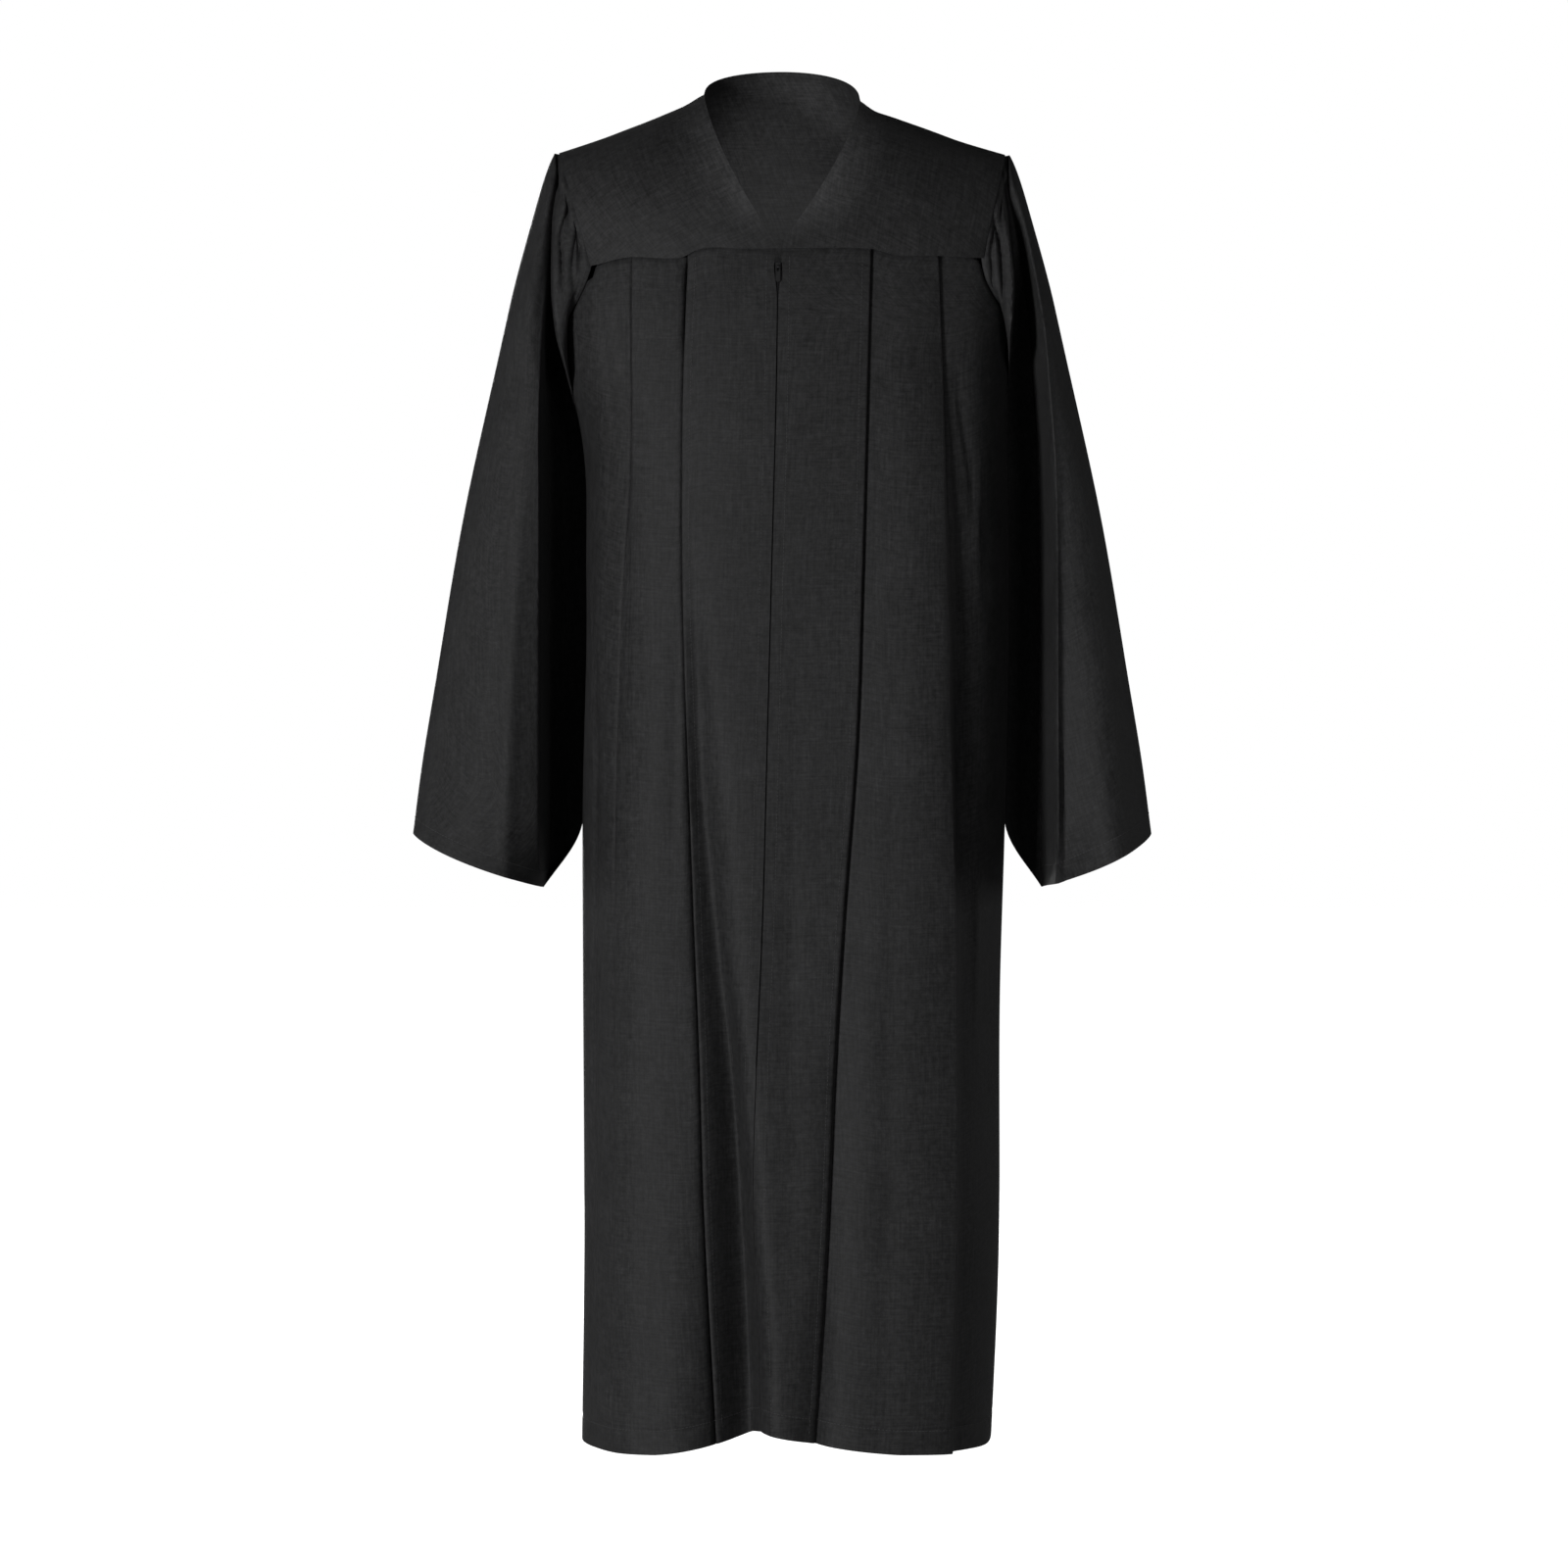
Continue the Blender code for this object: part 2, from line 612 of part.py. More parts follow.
def sleeve_ring(side, share, turns):
    """Section of a sleeve, on a plane that leans from upright at the armhole to nearly level at the cuff."""
    ring = []
    for turn in turns:
        across, height = sleeve_plane(side, share, power(math.cos(turn), SLEEVE_SQUARENESS))
        depth = read(SLEEVE, "front" if turn < math.pi else "back", share)
        deep = -depth * power(math.sin(turn), SLEEVE_SQUARENESS)
        if turn <= math.pi:
            strength = hollow_strength(side, across, -height)
            deep += (HOLLOW_FLOOR - deep) * strength
            base = HOLLOW_FLOOR * strength
        elif turn < 1.5 * math.pi:
            deep = base + (depth - base) * deep / depth
        ring.append((across, deep, height))
    return np.array(ring)


def gather_depth(turn, share):
    """Depth of the head's gathers at a turn in degrees (0 outer, 90 front, -90 back) and a length share."""
    total = 0.0
    for gather in GATHERS:
        along = share / gather["share"]
        middle = gather["start"] + (gather["end"] - gather["start"]) * along ** gather["bend"]
        growth = ease(share / GATHER_GROWTH) * (1 - ease(along))
        total += gather["depth"] * growth * bump(turn - middle, gather["width"])
    return total


def sleeve(name, side_name, collection):
    """A sleeve: a tube from the armhole, gathered at its head, to the open cuff."""
    side = SIDE[side_name]
    grid = []
    for share in SLEEVE_RINGS:
        turns = sleeve_turns(side, share)
        loop = armhole_loop(side, turns)
        hub = loop.mean(axis=0)
        hub[0] = side * SHOULDER_TIP
        off = hub - loop
        off /= np.linalg.norm(off, axis=1)[:, None]
        off[:, 0] += side
        off /= np.linalg.norm(off, axis=1)[:, None]
        seam = loop + off * SLEEVE_OFF_EDGE
        seam[:, 0] += side * SLEEVE_ROLL * ease(share / SLEEVE_ROLL_SHARE)
        ring = sleeve_ring(side, share, turns)
        middle = ring.mean(axis=0)
        blend = ease(share / SLEEVE_SET)
        ring = seam * (1 - blend) + ring * blend
        inward = middle - ring
        inward /= np.linalg.norm(inward, axis=1)[:, None]
        degrees = (np.degrees(turns) + 180) % 360 - 180
        depths = np.array([gather_depth(turn, share) for turn in degrees])
        grid.append([tuple(point) for point in ring + inward * depths[:, None]])
    return shell(name, grid, collection, cloth_material(), closed=True)


# Zip

def zip_edge(grid, drop):
    """Point on the zip edge of a front at a drop, with the directions away from the zip and outwards."""
    heights = -grid[:, 0, 2]
    edge, beside = (
        np.array([np.interp(drop, heights, grid[:, column, axis]) for axis in range(3)]) for column in (0, 1)
    )
    away = (beside - edge) / np.linalg.norm(beside - edge)
    outward = np.array((away[1], -away[0], 0)) * math.copysign(1, away[0])
    return edge, away, outward / np.linalg.norm(outward)


def zip_tape(name, side_name, grid, collection):
    """One tape of the zip, behind the edge of its front."""
    inset = CLOTH / 2 + TAPE_OFF + TAPE_THICK / 2
    inner_drops = [drop for drop in -grid[:, 0, 2] if ZIP_TOP < drop < ZIP_END]
    rows = []
    for drop in [ZIP_TOP, *inner_drops, ZIP_END]:
        edge, away, outward = zip_edge(grid, drop)
        start = TAPE_INNER - slit_half(drop)
        places = (start, TAPE_OUTER)
        rows.append([tuple(edge + away * place - outward * inset) for place in places])
    return shell(name, rows, collection, tape_material(), thick=TAPE_THICK)


def slider_seat(grids):
    """Point of the zip's middle that the slider sits on, half way through the tapes."""
    left, right = (zip_edge(grids[name], SLIDER_DROP) for name in SIDE)
    inset = CLOTH / 2 + TAPE_OFF + TAPE_THICK / 2
    return Vector((left[0] + right[0]) / 2 - (left[2] + right[2]) / 2 * inset)


def outline_plate(name, outline, thick, place, turn, collection, holes=()):
    """Flat plate: closed outlines in metres, given a thickness, turned and placed."""
    curve = bpy.data.curves.new(name, "CURVE")
    curve.dimensions = "2D"
    curve.fill_mode = "BOTH"
    curve.extrude = thick / 2
    for points in (outline, *holes):
        spline = curve.splines.new("POLY")
        spline.points.add(len(points) - 1)
        for knot, (across, up) in zip(spline.points, points):
            knot.co = (across, up, 0, 1)
        spline.use_cyclic_u = True
    flat = bpy.data.objects.new(name, curve)
    flat.matrix_world = Matrix.Translation(place) @ turn
    collection.objects.link(flat)
    bpy.context.view_layer.update()
    depsgraph = bpy.context.evaluated_depsgraph_get()
    mesh = bpy.data.meshes.new_from_object(flat.evaluated_get(depsgraph))
    mesh.name = name
    plate = bpy.data.objects.new(name, mesh)
    plate.matrix_world = flat.matrix_world.copy()
    collection.objects.link(plate)
    bpy.data.objects.remove(flat)
    plate.name = name
    weld(plate)
    return plate


def weld(item):
    """Merge the doubled points of a mesh."""
    model = bmesh.new()
    model.from_mesh(item.data)
    bmesh.ops.remove_doubles(model, verts=model.verts, dist=WELD)
    bmesh.ops.recalc_face_normals(model, faces=model.faces)
    model.to_mesh(item.data)
    model.free()


def zip_slider(seat, collection, guides):
    """The slider: a front and a rear plate, a post between them and an arch for the tab."""
    half = SLIDER_WIDTH / 2
    inner = TAPE_THICK / 2 + SLIDER_GAP
    outer = inner + SLIDER_PLATE
    post = SLIDER_POST / 2
    section = (
        (-half, -outer), (half, -outer), (half, -inner), (post, -inner), (post, inner), (half, inner),
        (half, outer), (-half, outer), (-half, inner), (-post, inner), (-post, -inner), (-half, -inner),
    )
    slider = outline_plate("zip_slider", section, SLIDER_LENGTH, seat, SLIDER_TURN, collection)
    arch_turns = np.linspace(0, math.pi, ARCH_STEPS)
    rise = ARCH_HEIGHT / 2
    ring = [(-ARCH_REACH * math.sin(turn), rise * math.cos(turn)) for turn in arch_turns]
    hole = [
        (-(ARCH_REACH - ARCH_BAR) * math.sin(turn), (rise - ARCH_BAR) * math.cos(turn))
        for turn in arch_turns[::-1]
    ]
    outline = [(ARCH_SINK, rise)] + ring + [(ARCH_SINK, -rise), (ARCH_SINK, ARCH_BAR - rise)]
    outline += hole + [(ARCH_SINK, rise - ARCH_BAR)]
    place = seat + SLIDER_TURN @ Vector((0, -outer, 0))
    upright = Matrix.Rotation(math.pi / 2, 4, "Z") @ Matrix.Rotation(math.pi / 2, 4, "X")
    arch = outline_plate("slider_arch", outline, ARCH_THICK, place, SLIDER_TURN @ upright, guides)
    join(slider, arch, "UNION")
    slider.data.materials.append(metal_material())
    return slider


def pull_axis(seat):
    """Middle of the pull tab's hinge, inside the slider's arch."""
    front = TAPE_THICK / 2 + SLIDER_GAP + SLIDER_PLATE
    return seat + SLIDER_TURN @ Vector((0, -front - TAB_OFF_PLATE, 0))


def zip_pull_tab(seat, collection):
    """The pull tab, hanging from the arch: a bar, a window round the arch and a rounded tongue."""
    half = TAB_WIDTH / 2
    top = TAB_BAR / 2
    turns = np.linspace(0, math.pi, TAB_STEPS)
    tip = -(TAB_LENGTH - half)
    outline = [(-half, top), (half, top)]
    outline += [(half * math.cos(turn), tip - half * math.sin(turn)) for turn in turns]
    window = TAB_WINDOW_WIDTH / 2
    low = -top - TAB_WINDOW_LENGTH
    hole = [(-window, -top), (-window, low), (window, low), (window, -top)]
    turn = SLIDER_TURN @ Matrix.Rotation(math.pi / 2, 4, "X")
    tab = outline_plate("zip_pull_tab", outline, TAB_THICK, pull_axis(seat), turn, collection, (hole,))
    tab.data.materials.append(metal_material())
    return tab


# Building

def shell(name, grid, collection, material, closed=False, thick=CLOTH):
    """Cloth wall through a grid of points, its rows joined round when closed."""
    rows, columns = len(grid), len(grid[0])
    points = [point for row in grid for point in row]
    faces = []
    for row in range(rows - 1):
        for column in range(columns if closed else columns - 1):
            along = (column + 1) % columns
            base = row * columns
            faces.append((base + column, base + along, base + columns + along, base + columns + column))
    mesh = bpy.data.meshes.new(name)
    mesh.from_pydata(points, [], faces)
    mesh.shade_smooth()
    item = bpy.data.objects.new(name, mesh)
    collection.objects.link(item)
    wall = item.modifiers.new("Wall", "SOLIDIFY")
    wall.thickness = thick
    wall.offset = 0
    item.data.materials.append(material)
    return item


def join(item, other, operation):
    """Boolean of one solid with another, which stays as a hidden guide."""
    change = item.modifiers.new(operation.title(), "BOOLEAN")
    change.operation = operation
    change.solver = "MANIFOLD"
    change.object = other
    other.hide_render = True
    other.display_type = "WIRE"


def finish_material(name, colour, roughness, metallic):
    """Principled material of one colour."""
    material = bpy.data.materials.get(name) or bpy.data.materials.new(name)
    material.use_nodes = True
    shader = material.node_tree.nodes["Principled BSDF"]
    shader.inputs["Base Color"].default_value = (*colour, 1)
    shader.inputs["Roughness"].default_value = roughness
    shader.inputs["Metallic"].default_value = metallic
    return material


def cloth_material():
    """Matte black gown cloth."""
    return finish_material("gown_cloth", (0.018, 0.018, 0.019), 0.85, 0.0)


def tape_material():
    """Black woven zip tape."""
    return finish_material("zip_tape", (0.010, 0.010, 0.011), 0.9, 0.0)


def metal_material():
    """Bright plated metal of the slider and its tab."""
    return finish_material("zip_metal", (0.55, 0.55, 0.56), 0.3, 1.0)


def main():
    """Build the gown."""
    for item in list(bpy.data.objects):
        bpy.data.objects.remove(item)
    gown = bpy.data.collections.new("graduation_gown")
    guides = bpy.data.collections.new("guides")
    bpy.context.scene.collection.children.link(gown)
    bpy.context.scene.collection.children.link(guides)
    fronts = {side_name: front_grid(side_name) for side_name in SIDE}
    for side_name, grid in fronts.items():
        front_yoke(f"front_yoke_{side_name}", side_name, gown)
        shell(f"front_panel_{side_name}", grid, gown, cloth_material())
        sleeve(f"sleeve_{side_name}", side_name, gown)
        zip_tape(f"zip_tape_{side_name}", side_name, grid, gown)
    back_yoke("back_yoke", gown)
    back_panel("back_panel", gown)
    seat = slider_seat(fronts)
    zip_slider(seat, gown, guides)
    zip_pull_tab(seat, gown)


main()
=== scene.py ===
import math

import bpy
import numpy as np
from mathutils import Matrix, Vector


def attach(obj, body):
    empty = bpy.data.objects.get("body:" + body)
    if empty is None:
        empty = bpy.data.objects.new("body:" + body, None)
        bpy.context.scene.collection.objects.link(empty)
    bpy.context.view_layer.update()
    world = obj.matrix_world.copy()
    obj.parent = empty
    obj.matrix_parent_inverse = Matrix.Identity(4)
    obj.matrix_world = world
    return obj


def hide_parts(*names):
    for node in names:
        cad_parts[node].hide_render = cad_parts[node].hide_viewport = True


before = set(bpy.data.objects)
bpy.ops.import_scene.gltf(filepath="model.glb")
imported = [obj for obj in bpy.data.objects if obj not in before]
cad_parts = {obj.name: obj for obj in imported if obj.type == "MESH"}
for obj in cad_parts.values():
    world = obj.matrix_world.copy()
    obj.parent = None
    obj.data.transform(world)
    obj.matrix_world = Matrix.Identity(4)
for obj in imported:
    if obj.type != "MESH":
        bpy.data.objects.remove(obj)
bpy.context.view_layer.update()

bpy.ops.object.select_all(action="DESELECT")

# Camera: level with the middle of the gown, straight in front of it

CAMERA_FAR = 5.0
CAMERA_PLACE = (0.0018, -CAMERA_FAR, -0.638)
FRAME_WIDTH = 1.4784
SENSOR = 36.0

bpy.ops.object.camera_add(location=CAMERA_PLACE, rotation=(math.pi / 2, 0, 0))
camera = bpy.context.object
camera.name = "camera"
camera.data.sensor_width = SENSOR
camera.data.lens = SENSOR * CAMERA_FAR / FRAME_WIDTH
bpy.context.scene.camera = camera

# Driving sizes of the gown, in metres. A drop is a distance below the neck points, a reach is a length
# along the cloth from the middle of the front or back, and an inset is a depth in from the trunk's form

SEAM = 0.00004
CLOTH = 0.0009
MILLIMETRE = 0.001
FACING = {"front": -1, "back": 1}
SIDE = {"left": -1, "right": 1}
SIDE_NAME = {side: name for name, side in SIDE.items()}


def table(columns, rows):
    """Rows of numbers as one array for each named column."""
    return dict(zip(columns, np.array(rows, dtype=float).T))


def records(columns, rows):
    """Rows of numbers as one set of named values for each row."""
    return [dict(zip(columns, row)) for row in rows]


SQUARENESS = 2.4
RIM_STEPS = 120
PROBE = 0.002
TRUNK = table(("drop", "middle", "half", "front", "back"), (
    (0.140, 0.0055, 0.2140, 0.117, 0.107),
    (0.190, 0.0020, 0.2170, 0.124, 0.112),
    (0.240, 0.0030, 0.2095, 0.128, 0.115),
    (0.300, 0.0105, 0.2010, 0.131, 0.117),
    (0.450, 0.0145, 0.1985, 0.134, 0.118),
    (0.670, 0.0110, 0.1985, 0.138, 0.120),
    (0.820, 0.0090, 0.1960, 0.141, 0.123),
    (1.100, 0.0085, 0.1945, 0.147, 0.130),
    (1.260, 0.0040, 0.1920, 0.150, 0.134),
))
SHOULDER = table(("across", "drop"), (
    (0.0600, -0.0150), (0.0730, -0.0110), (0.0900, -0.0010), (0.1080, 0.0070), (0.1270, 0.0148),
    (0.1460, 0.0220), (0.1660, 0.0296), (0.1880, 0.0370), (0.2100, 0.0440),
))
SHOULDER_SAG = table(("across", "drop"), (
    (0.0600, 0.0040), (0.0730, 0.0060), (0.0820, 0.0074), (0.1000, 0.0056), (0.1230, 0.0040),
    (0.1650, 0.0032), (0.2100, 0.0016),
))
NECK_SIDE = 0.073
SHOULDER_TIP = 0.210
NECK_CURVE = 1.5
NECK_BACK_DEPTH = 0.058
NECK_BACK_RISE = 0.0410
NECK_BACK_LEAN = math.radians(48)
NECK_BACK_SHARE = 0.34
NECK_BACK_CURVE = 0.8
FRONT_SEAM = table(("across", "drop"), (
    (-0.230, 0.1560),
    (-0.186, 0.1545),
    (-0.150, 0.1490),
    (-0.110, 0.1512),
    (-0.098, 0.1508),
    (-0.086, 0.1448),
    (-0.040, 0.1434),
    (0.020, 0.1430),
    (0.076, 0.1430),
    (0.084, 0.1440),
    (0.096, 0.1474),
    (0.140, 0.1480),
    (0.186, 0.1478),
    (0.230, 0.1440),
))
BACK_SEAM = 0.150
ARMHOLE_SHARE = 0.69
ARMPIT_LEVEL = 0.059
CORNER_REACH = 0.19
HEM = table(("share", "drop"), (
    (-1.00, 1.2525), (-0.60, 1.2545), (-0.30, 1.2545), (0.00, 1.2535),
    (0.35, 1.2525), (0.65, 1.2540), (0.90, 1.2510), (1.00, 1.2440),
))
HEM_NOTCH = -0.09
HEM_NOTCH_DEPTH = 0.0205
HEM_NOTCH_LEFT = 0.36
HEM_NOTCH_RIGHT = 0.46
HEM_NOTCH_BEND = 1.4
BACK_HEM = 1.249
FRONT_LINES = table(("drop", "zip", "inner_left", "outer_left", "inner_right", "outer_right"), (
    (0.140, -0.0034, -0.0854, -0.1376, 0.0809, 0.1430),
    (0.280, -0.0054, -0.0905, -0.1394, 0.0773, 0.1500),
    (0.430, -0.0092, -0.0917, -0.1440, 0.0735, 0.1510),
    (0.600, -0.0135, -0.0885, -0.1460, 0.0680, 0.1490),
    (0.770, -0.0180, -0.0827, -0.1460, 0.0560, 0.1480),
    (0.900, -0.0234, -0.0773, -0.1450, 0.0487, 0.1480),
    (1.030, -0.0265, -0.0746, -0.1440, 0.0435, 0.1480),
    (1.150, -0.0222, -0.0700, -0.1430, 0.0375, 0.1480),
    (1.250, -0.0198, -0.0656, -0.1430, 0.0306, 0.1480),
))
BACK_PLEATS = (0.062, 0.122)
PLEAT_UNDER = 0.013
PLEAT_LIFT = 0.0020
PLEAT_SPREAD = 0.024
PLEAT_SWELL = 2.5
PLEAT_RISE = 0.040
PLEAT_PAST = 0.0012
PLEAT_ARC_STEPS = 4
OPENING = table(("drop", "inner", "outer", "back"), (
    (0.140, 0.00, 0.00, 0.00),
    (0.250, 0.03, 0.12, 0.10),
    (0.400, 0.08, 0.60, 0.35),
    (0.550, 0.14, 0.85, 0.60),
    (0.800, 0.24, 0.94, 0.78),
    (1.260, 0.42, 0.97, 0.88),
))

# Folds and creases of the cloth. Each follows a line down the cloth. Its rows, in millimetres,
# give the drop, the distance across, the depth in, and the widths of its flanks: the left and right ones on
# the trunk, the ones towards the trunk and away from it on a sleeve. A bend of 2 is round, 1 is sharp
FOLD_COLUMNS = ("drop", "across", "depth", "left", "right")


def fold(bend, *rows):
    """One fold or crease, in metres."""
    return {**table(FOLD_COLUMNS, np.array(rows) * MILLIMETRE), "bend": bend}


FOLDS = {
    "front": (
        # valley that opens beside the left inner pleat
        fold(1.9, (400, -83, 0, 6, 8), (500, -80, 4, 8, 10), (640, -76.6, 14, 10, 16),
             (770, -65, 20, 14, 14), (907, -50, 29, 18, 12), (1040, -42, 42, 25, 14),
             (1177, -35, 54, 32, 16), (1260, -33, 57, 34, 16)),
        # open top of the left inner pleat
        fold(1.5, (153.5, -88, 0, 2.4, 1.8), (160, -88.4, 4.2, 2.4, 1.8), (225, -91.5, 4.2, 2.4, 1.8),
             (250, -92, 0, 2.4, 1.8)),
        # ridge between the valley and the side, and the ridge right of the valley
        fold(2.0, (550, -132, 0, 30, 26), (900, -138, -6, 30, 26), (1260, -142, -9, 32, 28)),
        fold(2.0, (600, -30, 0, 16, 20), (1000, -24, -3, 16, 20), (1260, -20, -4, 16, 20)),
        # soft valley under the right inner pleat
        fold(1.8, (800, 56, 0, 8, 12), (1050, 44, 6, 14, 10), (1260, 29, 14, 18, 10)),
        # flat front of the right side, which turns sharply at the edge
        fold(1.9, (240, 136, 0, 60, 22), (480, 147, -14, 64, 12), (800, 149, -20, 68, 10),
             (1050, 149, -20, 68, 10), (1200, 144, -19, 66, 11), (1260, 144, -18, 66, 11)),
        # soft trough beside the right outer pleat
        fold(1.6, (152, 143, 0, 4, 10), (200, 145, 1.8, 5, 11), (300, 150, 2.2, 8, 14),
             (440, 153, 2.6, 8, 14), (580, 150, 2, 6, 14), (700, 148, 0, 8, 14)),
        # wavy creases on the right side of the chest
        fold(1.5, (240, 162, 0, 3, 5), (300, 168, 3, 3, 6), (360, 176, 2.8, 3, 6), (420, 178, 0, 3, 5)),
        fold(1.5, (300, 156, 0, 3, 4), (350, 159, 2.4, 3, 5), (420, 164, 2.6, 3, 6), (520, 164, 0, 3, 5)),
        fold(1.5, (330, 183, 0, 3, 4), (400, 180, -2.6, 3, 4), (480, 182, 0, 3, 4)),
        fold(1.5, (620, 178, 0, 3, 5), (760, 180, -3, 4, 5), (900, 180, 0, 4, 5)),
        # creases on the left side of the chest and below the arm
        fold(1.5, (180, -149, 0, 4, 3), (220, -148, 2.4, 6, 3), (300, -146, 0, 6, 3)),
        fold(1.6, (170, -166, 0, 5, 5), (250, -163, 1.6, 6, 6), (400, -164, 0, 6, 6)),
        fold(1.6, (430, -178, 0, 4, 6), (620, -174, 3, 5, 7), (900, -176, 3.8, 5, 8),
             (1150, -177, 0, 5, 8)),
        fold(1.5, (420, -96, 0, 6, 4), (600, -100, 2.2, 8, 6), (760, -101, 0, 8, 6)),
        fold(1.8, (500, 15, 0, 8, 8), (800, 8, 1.4, 10, 10), (1150, 10, 0, 10, 10)),
        fold(1.8, (300, 105, 0, 10, 8), (600, 101, 1.6, 12, 10), (1000, 96, 1.8, 12, 10),
             (1250, 90, 1, 12, 10)),
        # pull of the cloth under the left part of the zip
        fold(1.4, (900, -30, 0, 2, 6), (960, -27, 1.6, 2, 10), (1080, -19, 0, 3, 8)),
    ),
    "back": (
        fold(1.8, (300, -154, 0, 10, 12), (700, -158, 9, 14, 18), (1260, -164, 16, 18, 22)),
        fold(1.8, (340, -100, 0, 12, 10), (800, -102, -6, 16, 14), (1260, -106, -9, 18, 16)),
        fold(1.7, (280, -60, 0, 8, 8), (620, -62, 9, 12, 14), (1260, -66, 20, 18, 20)),
        fold(1.8, (400, -20, 0, 12, 12), (900, -18, -6, 16, 16), (1260, -20, -8, 16, 18)),
        fold(1.7, (260, 20, 0, 6, 8), (700, 24, 7, 12, 12), (1260, 28, 15, 18, 14)),
        fold(1.7, (300, 62, 0, 8, 8), (800, 68, 10, 14, 14), (1260, 76, 21, 20, 18)),
        fold(1.8, (420, 108, 0, 14, 12), (900, 112, -7, 16, 14), (1260, 118, -10, 18, 16)),
        fold(1.7, (240, 150, 0, 8, 8), (660, 156, 8, 14, 12), (1260, 162, 15, 20, 14)),
        fold(1.5, (170, -178, 0, 4, 5), (300, -168, 4, 5, 6), (460, -150, 0, 5, 6)),
        fold(1.5, (180, 170, 0, 5, 4), (340, 162, 4, 6, 5), (540, 142, 0, 6, 5)),
        fold(1.5, (440, 0, 0, 4, 4), (600, -4, 2.6, 5, 6), (840, -2, 0, 5, 6)),
        fold(1.5, (500, -126, 0, 4, 5), (740, -130, 3.2, 5, 7), (1100, -134, 0, 5, 7)),
        fold(1.5, (620, 92, 0, 4, 4), (860, 96, 3, 6, 5), (1200, 94, 0, 6, 5)),
    ),
}

# Top corners of the fronts, which are rounded off and fall back under the yoke
CORNERS = {
    "left": {"reach": -0.186, "round": 0.014, "depth": 0.0050},
    "right": {"reach": 0.196, "round": 0.022, "depth": 0.0085},
}
CORNER_FALL = 0.0022

SLEEVE = table(("share", "outer", "outer_drop", "inner_drop", "flare", "front", "back"), (
    (0.00, 0.2110, 0.0450, 0.2150, 0.0008, 0.074, 0.072),
    (0.06, 0.2300, 0.0785, 0.2420, 0.0006, 0.078, 0.074),
    (0.15, 0.2450, 0.1400, 0.2900, -0.0006, 0.080, 0.074),
    (0.30, 0.2665, 0.2350, 0.3750, -0.0012, 0.084, 0.074),
    (0.50, 0.2980, 0.3780, 0.4900, -0.0012, 0.091, 0.076),
    (0.75, 0.3265, 0.5450, 0.6250, -0.0010, 0.102, 0.084),
    (0.87, 0.3380, 0.6150, 0.6820, 0.0035, 0.108, 0.090),
    (1.00, 0.3470, 0.6840, 0.7350, 0.0380, 0.112, 0.096),
))
SLEEVE_SQUARENESS = 2.15
SLEEVE_TUCK = 0.0012
SLEEVE_ROLL = 0.0052
SLEEVE_ROLL_SHARE = 0.012
SLEEVE_ROLL_TURN = 55
SLEEVE_SET = 0.22

# Deep hollow down the front of each sleeve, by drop: distances across of its edges, and how far it goes in
HOLLOW_COLUMNS = ("drop", "outer", "inner", "strength")
HOLLOWS = {
    "left": table(HOLLOW_COLUMNS, (
        (0.110, 0.2150, 0.2140, 0.00),
        (0.150, 0.2170, 0.2145, 0.12),
        (0.190, 0.2195, 0.2140, 0.40),
        (0.220, 0.2215, 0.2110, 0.80),
        (0.250, 0.2230, 0.2030, 1.00),
        (0.300, 0.2244, 0.1900, 1.00),
        (0.365, 0.2244, 0.1700, 1.00),
        (0.600, 0.2244, 0.1600, 1.00),
        (0.735, 0.2245, 0.1600, 1.00),
    )),
    "right": table(HOLLOW_COLUMNS, (
        (0.055, 0.2060, 0.2020, 0.00),
        (0.080, 0.2165, 0.2060, 0.12),
        (0.120, 0.2270, 0.2105, 0.34),
        (0.166, 0.2350, 0.2160, 0.62),
        (0.215, 0.2420, 0.2150, 0.90),
        (0.265, 0.2460, 0.2120, 1.00),
        (0.330, 0.2510, 0.2105, 1.00),
        (0.400, 0.2530, 0.2080, 1.00),
        (0.460, 0.2534, 0.1960, 1.00),
        (0.600, 0.2534, 0.1800, 1.00),
        (0.735, 0.2540, 0.1800, 1.00),
    )),
}
HOLLOW_EDGE = {"left": 0.004, "right": 0.009}
HOLLOW_FOOT = 0.0025
HOLLOW_FLOOR = 0.012
HOLLOW_START = 0.12

